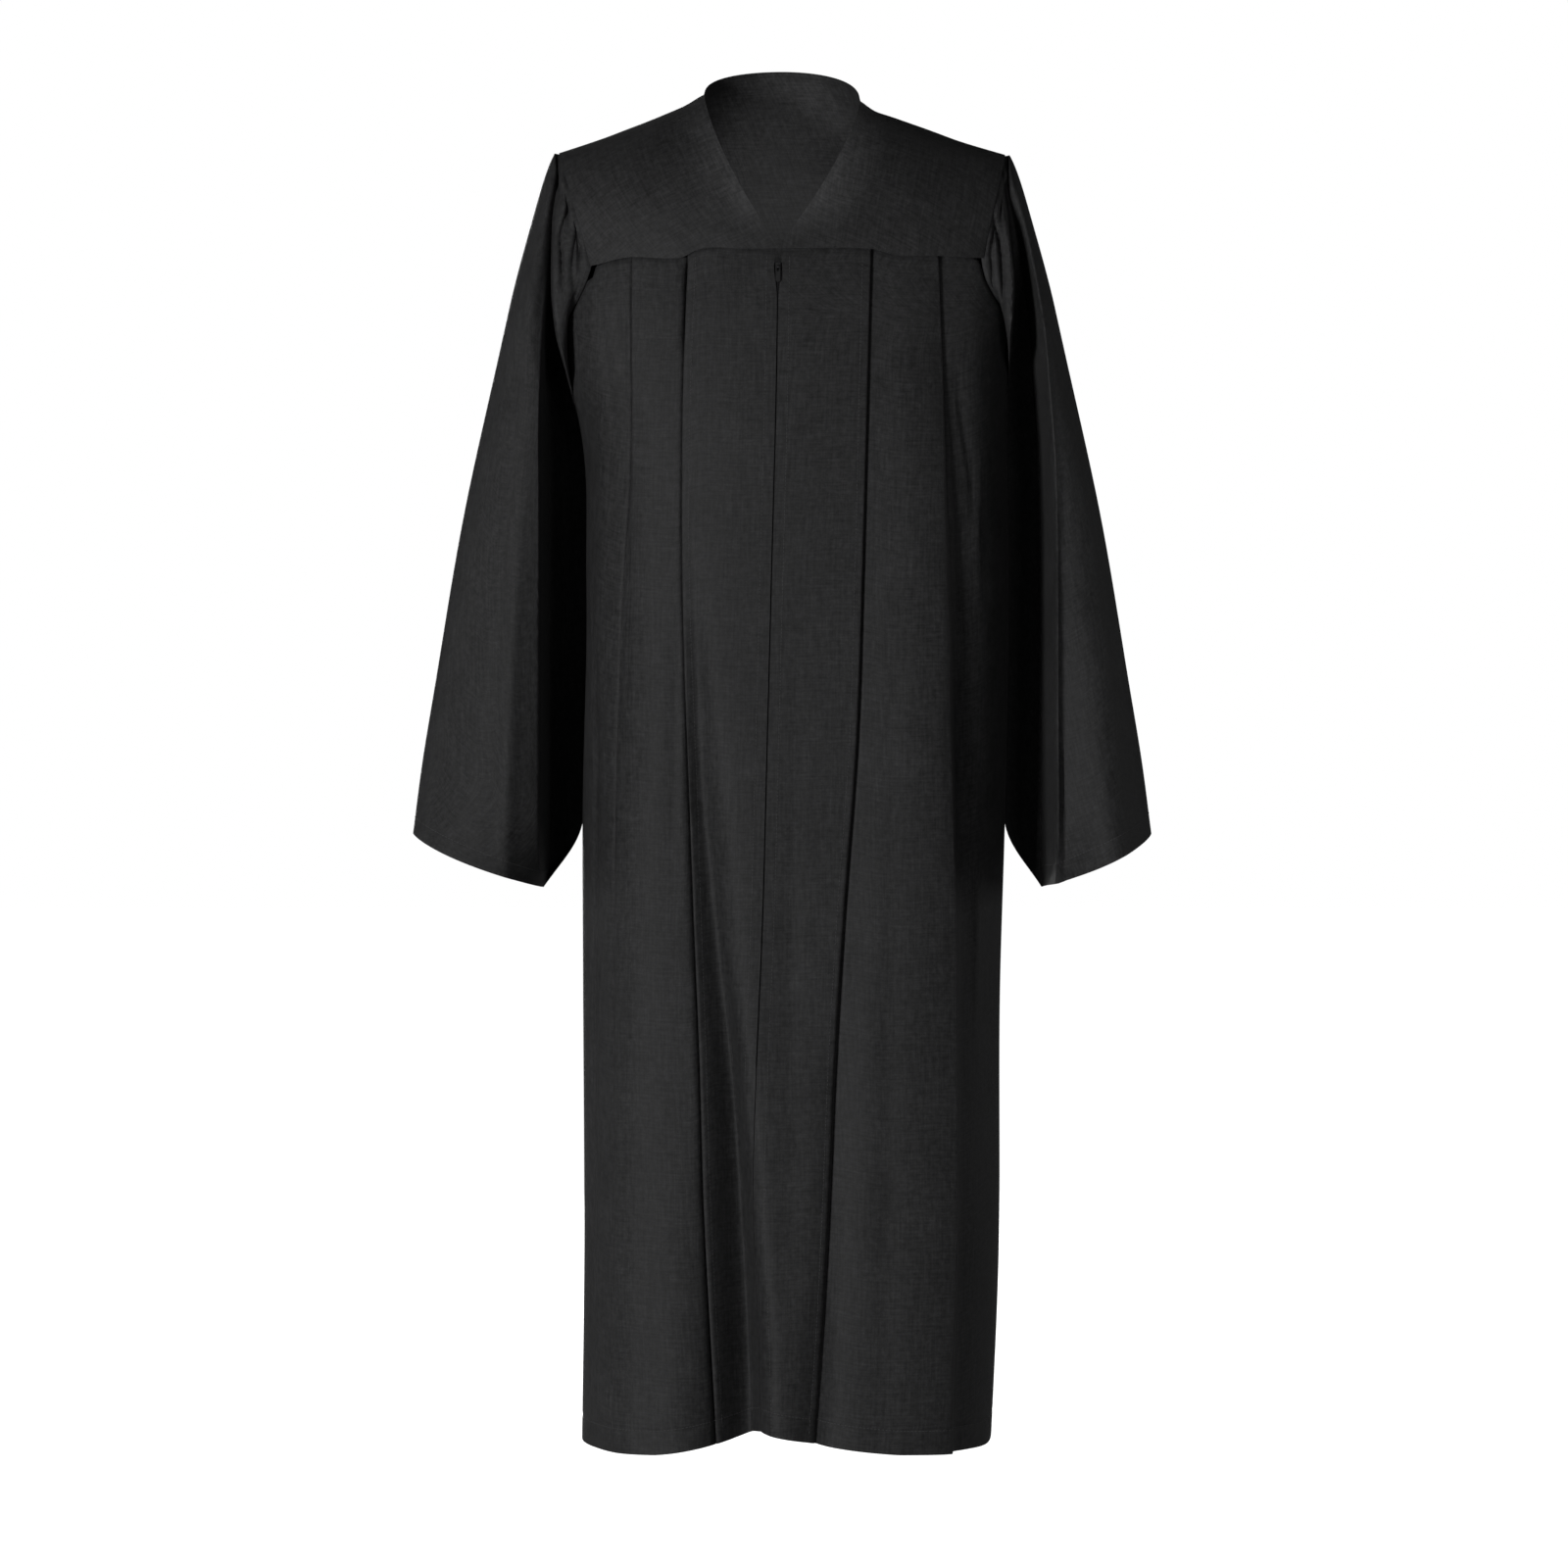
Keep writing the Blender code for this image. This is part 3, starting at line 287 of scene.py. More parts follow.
# Folds of the fronts and the backs of the sleeves: distances across are from the middle of the gown outwards
SLEEVE_FOLDS = {
    ("left", "front"): (
        # the front leans back from its outer ridge to the hollow
        fold(1.8, (150, 219, 0, 6, 10), (240, 220, 9, 10, 22), (400, 220, 15, 12, 40),
             (600, 222, 20, 14, 58), (740, 222, 20, 14, 64)),
        fold(2.0, (160, 245, 0, 12, 14), (300, 265, 10, 26, 20), (500, 290, 16, 40, 30),
             (700, 310, 18, 50, 34)),
        # long crease from the shoulder down to the hollow
        fold(1.2, (50, 203, 0, 1.5, 2), (66, 208, 7, 1.8, 2.4), (100, 214, 11, 2.2, 3.4),
             (150, 216, 12, 2.6, 4), (210, 218, 8, 2.6, 4), (260, 220, 0, 3, 4)),
        # short puckers below the seam of the head
        fold(1.2, (78, 197.5, 0, 1.2, 1.4), (98, 198.5, 6, 1.6, 2), (125, 206, 8, 2.2, 2.6),
             (150, 205, 6, 2.2, 2.6), (185, 203, 0, 2.4, 2.6)),
        fold(1.2, (108, 188, 0, 1.2, 1.4), (128, 191.5, 5, 1.8, 2), (150, 194.5, 5, 2, 2.4),
             (180, 194, 0, 2.2, 2.4)),
        fold(1.2, (72, 203, 0, 1, 1.2), (86, 204.2, 4, 1.4, 1.6), (104, 204, 0, 1.4, 1.6)),
        fold(1.2, (120, 186, 0, 1, 1.4), (140, 187, 3.6, 1.4, 1.8), (168, 188, 0, 1.6, 1.8)),
        # soft ridge down the outer band
        fold(1.3, (80, 225, 0, 4, 3), (180, 234, -2.4, 5, 3), (260, 241, -2.2, 6, 4), (360, 250, 0, 8, 6)),
        fold(1.8, (180, 245, 0, 6, 6), (360, 260, 2, 8, 8), (560, 285, 0, 10, 10)),
        fold(1.8, (340, 240, 0, 6, 6), (540, 250, -3, 7, 8), (720, 256, -4, 8, 9)),
    ),
    ("right", "front"): (
        fold(1.2, (52, 202, 0, 1.4, 1.4), (68, 204, 5, 1.8, 1.6), (100, 207, 6, 2.2, 2),
             (120, 208.5, 0, 2.4, 2)),
        fold(1.2, (88, 193, 0, 1.2, 1.4), (105, 194.5, 7, 1.8, 2), (130, 201, 9, 2.4, 2.6),
             (170, 205, 8, 2.6, 2.8), (215, 204, 0, 2.6, 2.8)),
        fold(1.2, (62, 199, 0, 1, 1.2), (78, 200.5, 3.6, 1.4, 1.4), (94, 201, 0, 1.4, 1.4)),
        fold(1.2, (130, 193, 0, 1.2, 1.4), (160, 195, 4, 1.8, 1.8), (210, 196, 0, 2, 2)),
        # lit edge beside the hollow, then the outer band
        fold(1.3, (180, 210, 0, 3, 3), (280, 206, -2.4, 4, 3), (420, 202, 0, 4, 3)),
        fold(1.6, (250, 252, 0, 4, 12), (458, 260, 12, 8, 34), (640, 262, 18, 8, 44),
             (740, 264, 18, 8, 46)),
        fold(1.9, (300, 276, 0, 10, 10), (520, 300, -6, 20, 14), (740, 314, -10, 26, 18)),
        fold(1.8, (220, 248, 0, 4, 5), (360, 260, 2, 5, 7), (520, 264, 0, 6, 8)),
        fold(1.8, (420, 310, 0, 8, 6), (600, 322, 3, 10, 6), (700, 328, 2, 10, 6)),
    ),
    ("left", "back"): (
        fold(1.4, (60, 208, 0, 3, 3), (110, 216, 7, 4, 5), (220, 226, 6, 6, 7), (420, 250, 0, 8, 9)),
        fold(1.7, (180, 216, 0, 6, 6), (420, 230, 10, 10, 12), (720, 246, 14, 14, 16)),
        fold(1.7, (300, 260, 0, 8, 8), (500, 276, -5, 12, 12), (720, 292, -8, 14, 14)),
        fold(1.5, (100, 200, 0, 3, 3), (150, 204, 5, 4, 4), (260, 212, 0, 5, 5)),
    ),
    ("right", "back"): (
        fold(1.4, (60, 209, 0, 3, 3), (120, 219, 8, 4, 5), (240, 230, 5, 6, 7), (400, 244, 0, 8, 9)),
        fold(1.7, (160, 216, 0, 6, 6), (380, 234, 9, 10, 12), (720, 258, 15, 16, 14)),
        fold(1.7, (280, 268, 0, 8, 8), (520, 290, -5, 12, 12), (720, 308, -8, 14, 14)),
        fold(1.5, (96, 199, 0, 3, 3), (160, 205, 5, 4, 4), (300, 214, 0, 5, 5)),
    ),
}
CUFF_BOW = 0.0050
CUFF_BOW_START = 0.86

# Gathers of a sleeve head: turns and widths in degrees, 0 at the top and 90 at the front, where each starts
# at the armhole and ends, at a share of the sleeve's length
GATHER_GROWTH = 0.018
GATHERS = records(("start", "end", "bend", "share", "depth", "width"), (
    (14, 98, 0.60, 0.30, 0.0140, 12),
    (52, 96, 0.80, 0.16, 0.0080, 8),
    (74, 108, 0.80, 0.10, 0.0060, 7),
    (-14, -24, 1.00, 0.24, 0.0040, 9),
    (-33, -60, 1.00, 0.40, 0.0080, 11),
    (-55, -82, 1.00, 0.28, 0.0060, 10),
    (-76, -100, 1.00, 0.18, 0.0045, 10),
))


# Forms

def read(values, column, place):
    """Value of a column at places along the table's first column, on a smooth curve through the rows."""
    places = next(iter(values.values()))
    heights = values[column]
    place = np.clip(place, places[0], places[-1])
    slopes = np.gradient(heights, places)
    row = np.clip(np.searchsorted(places, place, side="right") - 1, 0, len(places) - 2)
    step = places[row + 1] - places[row]
    part = (place - places[row]) / step
    rise = part * part * (3 - 2 * part)
    return (
        heights[row] * (1 - rise)
        + heights[row + 1] * rise
        + step * slopes[row] * part * (1 - part) ** 2
        - step * slopes[row + 1] * part * part * (1 - part)
    )


def ease(share):
    """Smooth step from 0 to 1."""
    share = np.clip(share, 0.0, 1.0)
    return share * share * (3 - 2 * share)


def bump(distance, width):
    """Bell curve: 1 in the middle, falling to nothing over about twice the width."""
    return np.exp(-((distance / width) ** 2))


def unit(vectors):
    """The same directions, each of length 1."""
    return vectors / np.linalg.norm(vectors, axis=-1, keepdims=True)


def run_of(line):
    """Distance along a line of points of each of them."""
    return np.concatenate(([0.0], np.cumsum(np.linalg.norm(np.diff(line, axis=0), axis=1))))


def points_at(places, run, line):
    """Points of a line at places along its run."""
    return np.stack([np.interp(places, run, line[:, axis]) for axis in range(3)], axis=1)


def power(value, squareness):
    """Signed power that squares up a circle's sine or cosine."""
    return np.sign(value) * np.abs(value) ** (2 / squareness)


def along(places, known, values):
    """Straight-line reading of each row of values at its own place."""
    after = np.clip((known < places[:, None]).sum(axis=1), 1, known.shape[1] - 1)[:, None]
    low, high = np.take_along_axis(known, after - 1, 1), np.take_along_axis(known, after, 1)
    first, last = np.take_along_axis(values, after - 1, 1), np.take_along_axis(values, after, 1)
    part = np.clip((places[:, None] - low) / (high - low), 0, 1)
    return (first + (last - first) * part)[:, 0]


def rim(face, drops):
    """Trunk outline of one face at each drop: places across, depths, and reaches from the middle."""
    drops = np.atleast_1d(np.asarray(drops, dtype=float))
    turns = np.linspace(-math.pi / 2, math.pi / 2, 2 * RIM_STEPS + 1)
    sines, cosines = power(np.sin(turns), SQUARENESS), power(np.cos(turns), SQUARENESS)
    across = read(TRUNK, "middle", drops)[:, None] + read(TRUNK, "half", drops)[:, None] * sines
    deep = FACING[face] * read(TRUNK, face, drops)[:, None] * cosines
    steps = np.hypot(np.diff(across, axis=1), np.diff(deep, axis=1))
    reach = np.concatenate((np.zeros((len(drops), 1)), np.cumsum(steps, axis=1)), axis=1)
    return across, deep, reach - reach[:, RIM_STEPS : RIM_STEPS + 1]


def reach_at(face, drop, across):
    """Reach of the point of the trunk that lies at a distance across."""
    places, _, reaches = rim(face, drop)
    return float(np.interp(across, places[0], reaches[0]))


def reach_of_side(face, drop, side):
    """Reach of the side seam."""
    reaches = rim(face, drop)[2]
    return reaches[:, 0] if side < 0 else reaches[:, -1]


def folded(line, middle, place, drop):
    """Depth of one fold or crease at places and drops, about its middle line."""
    distance = place - middle
    flank = np.where(distance < 0, read(line, "left", drop), read(line, "right", drop))
    depth = np.interp(drop, line["drop"], line["depth"])
    return depth * np.exp(-((np.abs(distance) / flank) ** line["bend"]))


for face, lines in FOLDS.items():
    for line in lines:
        line["reach"] = np.array([reach_at(face, *place) for place in zip(line["drop"], line["across"])])


SIDE_FADE = 0.018


def soft_folds(face, reach, drop, sides):
    """Depth of the folds and creases at points of the trunk; they die out at the side seams."""
    total = sum(folded(line, read(line, "reach", drop), reach, drop) for line in FOLDS[face])
    return total * ease((sides - np.abs(reach)) / SIDE_FADE)


def corner_fall(reach, drop):
    """Depth by which the rounded top corners of the fronts fall back."""
    total = np.zeros_like(reach)
    for side_name, corner in CORNERS.items():
        side = SIDE[side_name]
        past = side * (reach - corner["reach"]) + corner["round"]
        above = seam_drop("front", reach) + corner["round"] - drop
        outside = np.hypot(np.maximum(past, 0), np.maximum(above, 0)) - corner["round"]
        total += corner["depth"] * ease(outside / CORNER_FALL + 0.5) * (past > 0) * (above > 0)
    return total


def trunk_points(face, reach, drop, inset=0.0, corners=False):
    """Points at reaches round the trunk, drops and depths in from its form."""
    reach, drop, inset = (np.asarray(item, dtype=float) for item in np.broadcast_arrays(reach, drop, inset))
    shape = reach.shape
    reach, drop, inset = reach.ravel(), drop.ravel(), inset.ravel()
    places, deep, reaches = rim(face, drop)
    across = along(reach, reaches, places)
    depth = along(reach, reaches, deep)
    ahead = np.minimum(reach + PROBE, reaches[:, -1])
    behind = np.maximum(reach - PROBE, reaches[:, 0])
    run = along(ahead, reaches, places) - along(behind, reaches, places)
    climb = along(ahead, reaches, deep) - along(behind, reaches, deep)
    size = np.hypot(run, climb)
    sides = np.where(reach < 0, -reaches[:, 0], reaches[:, -1])
    inset = inset + soft_folds(face, reach, drop, sides)
    if corners:
        inset = inset + corner_fall(reach, drop)
    across = across + inset * FACING[face] * climb / size
    depth = depth - inset * FACING[face] * run / size
    return np.stack((across, depth, -drop), axis=-1).reshape(*shape, 3)


def seam_drop(face, reach):
    """Drop of the yoke seam."""
    return BACK_SEAM + 0 * reach if face == "back" else read(FRONT_SEAM, "drop", reach)


def hem_drop(face, share):
    """Drop of the hem, by share of the way from the middle to a side."""
    if face == "front":
        away = share - HEM_NOTCH
        near = np.maximum(1 - np.abs(away) / np.where(away < 0, HEM_NOTCH_LEFT, HEM_NOTCH_RIGHT), 0)
        return read(HEM, "drop", share) - HEM_NOTCH_DEPTH * near ** HEM_NOTCH_BEND
    return BACK_HEM + (read(HEM, "drop", np.sign(share)) - BACK_HEM) * share * share


def level_drop(face, reach, level, tuck=0.0):
    """Drop at a level, a share of the way from the yoke seam to the hem; the top is tucked under the yoke."""
    reach = np.asarray(reach, dtype=float)
    top = seam_drop(face, reach) + SEAM / 2
    sides = np.where(reach < 0, reach_of_side(face, BACK_HEM, -1), reach_of_side(face, BACK_HEM, 1))
    share = reach / np.abs(sides)
    return top + (hem_drop(face, share) - top) * level - tuck * (1 - ease(level / TUCK_END))


def armhole(face, side, level):
    """Reach of the lower armhole at a level, from the yoke seam down to the armpit at the side seam."""
    drop = level_drop(face, side * CORNER_REACH, level)
    sink = min(level / ARMPIT_LEVEL, 1.0)
    share = ARMHOLE_SHARE + (1 - ARMHOLE_SHARE) * (1 - math.sqrt(1 - sink * sink))
    return share * float(reach_of_side(face, drop, side)[0])


# Lights and the stage

GOWN_MIDDLE = (0.0, 0.0, -0.66)
GOWN_NECK = (0.0, 0.05, -0.05)
SOFT_BOXES = records(("name", "place", "size", "watts"), (
    ("key_light", (-3.6, -5.3, -0.85), (1.3, 1.3), 325),
    ("fill_light", (2.6, -5.6, -0.60), (1.4, 1.8), 42),
    ("left_side_light", (-4.4, 0.8, -0.2), (1.2, 2.0), 24),
    ("right_side_light", (4.4, 0.8, -0.2), (1.2, 2.0), 24),
    ("back_light", (-0.6, 5.4, 0.1), (1.8, 2.0), 170),
))
NECK_LIGHT_PLACE = (0.1, -6.0, 0.35)
NECK_LIGHT_CONE = math.radians(2.0)
NECK_LIGHT_WATTS = 1250
WORLD_FILL = 0.025
FLOOR_HEIGHT = -1.46
FLOOR_SIZE = 60.0


def lamp(kind, name, place, aim, watts):
    """A lamp that the camera doesn't see, aimed at a point."""
    bpy.ops.object.light_add(type=kind, location=place)
    item = bpy.context.object
    item.name = name
    item.data.energy = watts
    item.visible_camera = False
    item.rotation_euler = (Vector(aim) - Vector(place)).to_track_quat("-Z", "Y").to_euler()
    return item.data


for box in SOFT_BOXES:
    light = lamp("AREA", box["name"], box["place"], GOWN_MIDDLE, box["watts"])
    light.shape = "RECTANGLE"
    light.size, light.size_y = box["size"]
light = lamp("SPOT", "neck_light", NECK_LIGHT_PLACE, GOWN_NECK, NECK_LIGHT_WATTS)
light.spot_size = NECK_LIGHT_CONE
light.spot_blend = 1.0

world = bpy.data.worlds.new("studio")
bpy.context.scene.world = world
world.use_nodes = True
surround = world.node_tree.nodes["Background"]
surround.inputs["Color"].default_value = (1, 1, 1, 1)
seen = world.node_tree.nodes.new("ShaderNodeLightPath")
strength = world.node_tree.nodes.new("ShaderNodeMath")
strength.operation = "MAXIMUM"
strength.inputs[1].default_value = WORLD_FILL
world.node_tree.links.new(seen.outputs["Is Camera Ray"], strength.inputs[0])
world.node_tree.links.new(strength.outputs[0], surround.inputs["Strength"])
bpy.context.scene.view_settings.view_transform = "Standard"


def studio_floor():
    """Pale floor."""
    bpy.ops.mesh.primitive_plane_add(size=FLOOR_SIZE, location=(0, 0, FLOOR_HEIGHT))
    floor = bpy.context.object
    floor.name = "studio_floor"
    return floor


# Materials

def new_group(name, inputs, outputs):
    """An empty shader node group with its named sockets."""
    group = bpy.data.node_groups.new(name, "ShaderNodeTree")
    for label, kind, value in inputs:
        socket = group.interface.new_socket(name=label, in_out="INPUT", socket_type=kind)
        if value is not None:
            socket.default_value = value
    for label, kind in outputs:
        group.interface.new_socket(name=label, in_out="OUTPUT", socket_type=kind)
    return group, group.nodes.new("NodeGroupInput"), group.nodes.new("NodeGroupOutput")


def math_node(tree, operation, first, second=None):
    """A math node; its inputs are sockets or numbers."""
    node = tree.nodes.new("ShaderNodeMath")
    node.operation = operation
    for socket, value in zip(node.inputs, (first, second)):
        if value is None:
            continue
        if isinstance(value, (int, float)):
            socket.default_value = value
        else:
            tree.links.new(value, socket)
    return node.outputs[0]


def noise_node(tree, place, scale, detail, rough):
    """Noise over a place, from 0 to 1."""
    node = tree.nodes.new("ShaderNodeTexNoise")
    node.inputs["Scale"].default_value = scale
    node.inputs["Detail"].default_value = detail
    node.inputs["Roughness"].default_value = rough
    tree.links.new(place, node.inputs["Vector"])
    return node.outputs["Fac"]


NUMBER = "NodeSocketFloat"
VECTOR = "NodeSocketVector"
STREAKS_PER_METRE = ((34.0, 520.0), (420.0, 26.0))
STREAK_NOISE = {"scale": 1.0, "detail": 3.0, "rough": 0.7}
BLOTCH_NOISE = {"scale": 14.0, "detail": 3.0, "rough": 0.6}
FLECK_NOISE = {"scale": 210.0, "detail": 3.0, "rough": 0.75}
WEAR_NOISE = {"scale": 700.0, "detail": 4.0, "rough": 0.5}
GRAIN_NOISE = {"scale": 40.0, "detail": 3.0, "rough": 0.5}
BLOTCH_SHARE = 0.4
CROSSING_SHARE = 0.5


def weave_group():
    """Plain weave on cloth laid out in metres: a height, and a shade that varies yarn by yarn."""
    inputs = (("Place", VECTOR, None), ("Yarns", NUMBER, 1800.0), ("Slub", NUMBER, 0.5))
    group, start, end = new_group("plain_weave", inputs, (("Height", NUMBER), ("Shade", NUMBER)))
    split = group.nodes.new("ShaderNodeSeparateXYZ")
    group.links.new(start.outputs["Place"], split.inputs[0])
    turn = math_node(group, "MULTIPLY", start.outputs["Yarns"], math.pi)
    warp = math_node(group, "SINE", math_node(group, "MULTIPLY", split.outputs["X"], turn))
    weft = math_node(group, "SINE", math_node(group, "MULTIPLY", split.outputs["Y"], turn))
    crossing = math_node(group, "MULTIPLY", warp, weft)
    streaks = []
    for across, down in STREAKS_PER_METRE:
        mapping = group.nodes.new("ShaderNodeMapping")
        mapping.inputs["Scale"].default_value = (across, down, 1.0)
        group.links.new(start.outputs["Place"], mapping.inputs["Vector"])
        streaks.append(noise_node(group, mapping.outputs["Vector"], **STREAK_NOISE))
    slubs = math_node(group, "SUBTRACT", math_node(group, "ADD", *streaks), 1.0)
    slubs = math_node(group, "MULTIPLY", slubs, start.outputs["Slub"])
    height = math_node(group, "ADD", math_node(group, "MULTIPLY", crossing, CROSSING_SHARE), slubs)
    group.links.new(height, end.inputs["Height"])
    group.links.new(math_node(group, "ADD", slubs, 1.0), end.inputs["Shade"])
    return group


def mottle_group():
    """Faint unevenness of dyed cloth, and the soft marks of handling, as a shade about 1."""
    inputs = (("Place", VECTOR, None), ("Amount", NUMBER, 0.1))
    group, start, end = new_group("dye_mottle", inputs, (("Shade", NUMBER),))
    broad = noise_node(group, start.outputs["Place"], **BLOTCH_NOISE)
    fine = noise_node(group, start.outputs["Place"], **FLECK_NOISE)
    broad = math_node(group, "MULTIPLY", math_node(group, "SUBTRACT", broad, 0.5), BLOTCH_SHARE)
    both = math_node(group, "ADD", broad, math_node(group, "SUBTRACT", fine, 0.5))
    shade = math_node(group, "ADD", math_node(group, "MULTIPLY", both, start.outputs["Amount"]), 1.0)
    group.links.new(shade, end.inputs["Shade"])
    return group


WEAVE = weave_group()
MOTTLE = mottle_group()


def group_node(tree, group, **values):
    """A placed node group with its values set."""
    node = tree.nodes.new("ShaderNodeGroup")
    node.node_tree = group
    for label, value in values.items():
        node.inputs[label].default_value = value
    return node


def new_material(name):
    """A material, with its node tree, its shader and the piece's own coordinates."""
    material = bpy.data.materials.new(name)
    material.use_nodes = True
    tree = material.node_tree
    where = tree.nodes.new("ShaderNodeTexCoord")
    return material, tree, tree.nodes["Principled BSDF"], where.outputs["Object"]


def tint(tree, colour, shade, shader):
    """Base colour: a colour times a shade that varies over the surface."""
    scaled = tree.nodes.new("ShaderNodeVectorMath")
    scaled.operation = "SCALE"
    scaled.inputs[0].default_value = colour
    tree.links.new(shade, scaled.inputs["Scale"])
    tree.links.new(scaled.outputs["Vector"], shader.inputs["Base Color"])


def varied(tree, pattern, spread, least):
    """A pattern from 0 to 1, brought to a spread above a least value."""
    return math_node(tree, "ADD", math_node(tree, "MULTIPLY", pattern, spread), least)


ROUGH_SPREAD = 0.12
WEAVE_STRENGTH = 0.5
CLOTH_GLOSS = 0.12
CLOTH_SHEEN = 0.02
SHEEN_ROUGH = 0.45
METAL_SHADES = {"spread": 0.3, "least": 0.85}
PAPER_SHADES = {"spread": 0.01, "least": 0.345}
PAPER_ROUGH = 0.9
WHITE = (1.0, 1.0, 1.0)


def cloth_material(name, colour, yarns, slub, mottle, roughness, bump_height):
    """Woven cloth: colour from its yarns and its dye, height from its weave."""
    material, tree, shader, place = new_material(name)
    laid_out = tree.nodes.new("ShaderNodeUVMap")
    laid_out.uv_map = "cloth"
    weave = group_node(tree, WEAVE, Yarns=yarns, Slub=slub)
    tree.links.new(laid_out.outputs["UV"], weave.inputs["Place"])
    dye = group_node(tree, MOTTLE, Amount=mottle)
    tree.links.new(place, dye.inputs["Place"])
    shade = math_node(tree, "MULTIPLY", weave.outputs["Shade"], dye.outputs["Shade"])
    tint(tree, colour, shade, shader)
    relief = tree.nodes.new("ShaderNodeBump")
    relief.inputs["Distance"].default_value = bump_height
    relief.inputs["Strength"].default_value = WEAVE_STRENGTH
    tree.links.new(weave.outputs["Height"], relief.inputs["Height"])
    tree.links.new(relief.outputs["Normal"], shader.inputs["Normal"])
    rough = varied(tree, shade, ROUGH_SPREAD, roughness - ROUGH_SPREAD)
    tree.links.new(rough, shader.inputs["Roughness"])
    shader.inputs["Specular IOR Level"].default_value = CLOTH_GLOSS
    shader.inputs["Sheen Weight"].default_value = CLOTH_SHEEN
    shader.inputs["Sheen Roughness"].default_value = SHEEN_ROUGH
    return material


def metal_material(name, colour, roughness):
    """Plated metal with fine scratches and worn patches."""
    material, tree, shader, place = new_material(name)
    shade = varied(tree, noise_node(tree, place, **WEAR_NOISE), **METAL_SHADES)
    tint(tree, colour, shade, shader)
    tree.links.new(math_node(tree, "MULTIPLY", shade, roughness), shader.inputs["Roughness"])
    shader.inputs["Metallic"].default_value = 1.0
    return material


def floor_material():
    """Pale studio paper, which the camera sees evenly lit."""
    material, tree, shader, place = new_material("studio_paper")
    tint(tree, WHITE, varied(tree, noise_node(tree, place, **GRAIN_NOISE), **PAPER_SHADES), shader)
    shader.inputs["Roughness"].default_value = PAPER_ROUGH
    seen = tree.nodes.new("ShaderNodeLightPath")
    tree.links.new(seen.outputs["Is Camera Ray"], shader.inputs["Emission Strength"])
    shader.inputs["Emission Color"].default_value = (*WHITE, 1.0)
    material.cycles.emission_sampling = "NONE"
    return material


CLOTHS = records(("name", "colour", "yarns", "slub", "mottle", "roughness", "bump_height"), (
    ("gown_cloth_weave", (0.0200, 0.0200, 0.0205), 1800.0, 1.35, 1.50, 0.62, 0.00012),
    ("sewing_thread", (0.0420, 0.0420, 0.0430), 3000.0, 0.30, 0.10, 0.60, 0.00005),
    ("zip_tape_weave", (0.0120, 0.0120, 0.0125), 1200.0, 0.40, 0.10, 0.85, 0.00015),
))
CLOTH_BLACK, THREAD_BLACK, TAPE_BLACK = (cloth_material(**cloth) for cloth in CLOTHS)
ZIP_METAL = metal_material("zip_metal_plate", (0.10, 0.10, 0.102), 0.34)
studio_floor().data.materials.append(floor_material())


# Cloth sheets

SMALLEST = 1e-12


def lengths_along(points, axis):
    """Distance along the cloth of each point from the first one, down its row (1) or column (0)."""
    steps = np.linalg.norm(np.diff(points, axis=axis), axis=2)
    start = np.zeros_like(np.take(steps, [0], axis=axis))
    return np.concatenate((start, np.cumsum(steps, axis=axis)), axis=axis)


def faces_out(points):
    """Directions out of the cloth at each point of a sheet."""
    out = np.cross(np.gradient(points, axis=1), np.gradient(points, axis=0))
    return out / np.maximum(np.linalg.norm(out, axis=2, keepdims=True), SMALLEST)


WELD = 0.00001
SMOOTH_ANGLE = math.radians(50)


def lay_sheet(name, points, closed=False):
    """A grid of cloth moved to its place, given its thickness. A closed one has its edges sewn together."""
    rows, columns = points.shape[:2]
    bpy.ops.object.select_all(action="DESELECT")
    bpy.ops.mesh.primitive_grid_add(x_subdivisions=columns - 1, y_subdivisions=rows - 1, size=1)
    sheet = bpy.context.object
    sheet.name = name
    sheet.data.name = name
    laid = sheet.data.uv_layers.active
    laid.name = "cloth"
    sheet.data.vertices.foreach_set("co", points.reshape(-1))
    flat = np.stack((lengths_along(points, 1), lengths_along(points, 0)), axis=-1).reshape(-1, 2)
    corners = np.zeros(len(sheet.data.loops), dtype=np.int32)
    sheet.data.loops.foreach_get("vertex_index", corners)
    laid.data.foreach_set("uv", flat[corners].astype(np.float32).reshape(-1))
    sheet.data.update()
    if closed:
        bpy.ops.object.mode_set(mode="EDIT")
        bpy.ops.mesh.select_all(action="SELECT")
        bpy.ops.mesh.remove_doubles(threshold=WELD)
        bpy.ops.object.mode_set(mode="OBJECT")
    bpy.ops.object.shade_smooth()
    wall = sheet.modifiers.new("wall", "SOLIDIFY")
    wall.thickness = CLOTH
    wall.offset = 0
    bpy.ops.object.modifier_apply(modifier=wall.name)
    bpy.ops.object.shade_smooth_by_angle(angle=SMOOTH_ANGLE)
    sheet.data.materials.clear()
    sheet.data.materials.append(CLOTH_BLACK)
    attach(sheet, "gown")
    return sheet


def declare(sheet, node):
    """Hide the model's solid, named by its node, that a sheet stands for."""
    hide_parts(node)


# Knife pleats and panels

def pleat(opened):
    """Section of a knife pleat, from its edge outwards: pairs of a distance past the edge and an inset."""
    turn = PLEAT_LIFT / 2
    arc = np.linspace(0, math.pi, PLEAT_ARC_STEPS + 1)
    folded = [(turn * math.sin(angle), turn * (1 - math.cos(angle))) for angle in arc]
    folded += [(-PLEAT_UNDER / 2, turn * 2)]
    folded += [(-PLEAT_UNDER - turn * math.sin(angle), turn * (3 - math.cos(angle))) for angle in arc]
    flat = np.linspace(-PLEAT_SPREAD / 2, PLEAT_SPREAD / 2, len(folded))
    swell = (1 - opened) * (1 + PLEAT_SWELL * opened)
    return [
        (past * (1 - opened) + level * opened, inset * swell)
        for (past, inset), level in zip(folded, flat)
    ]


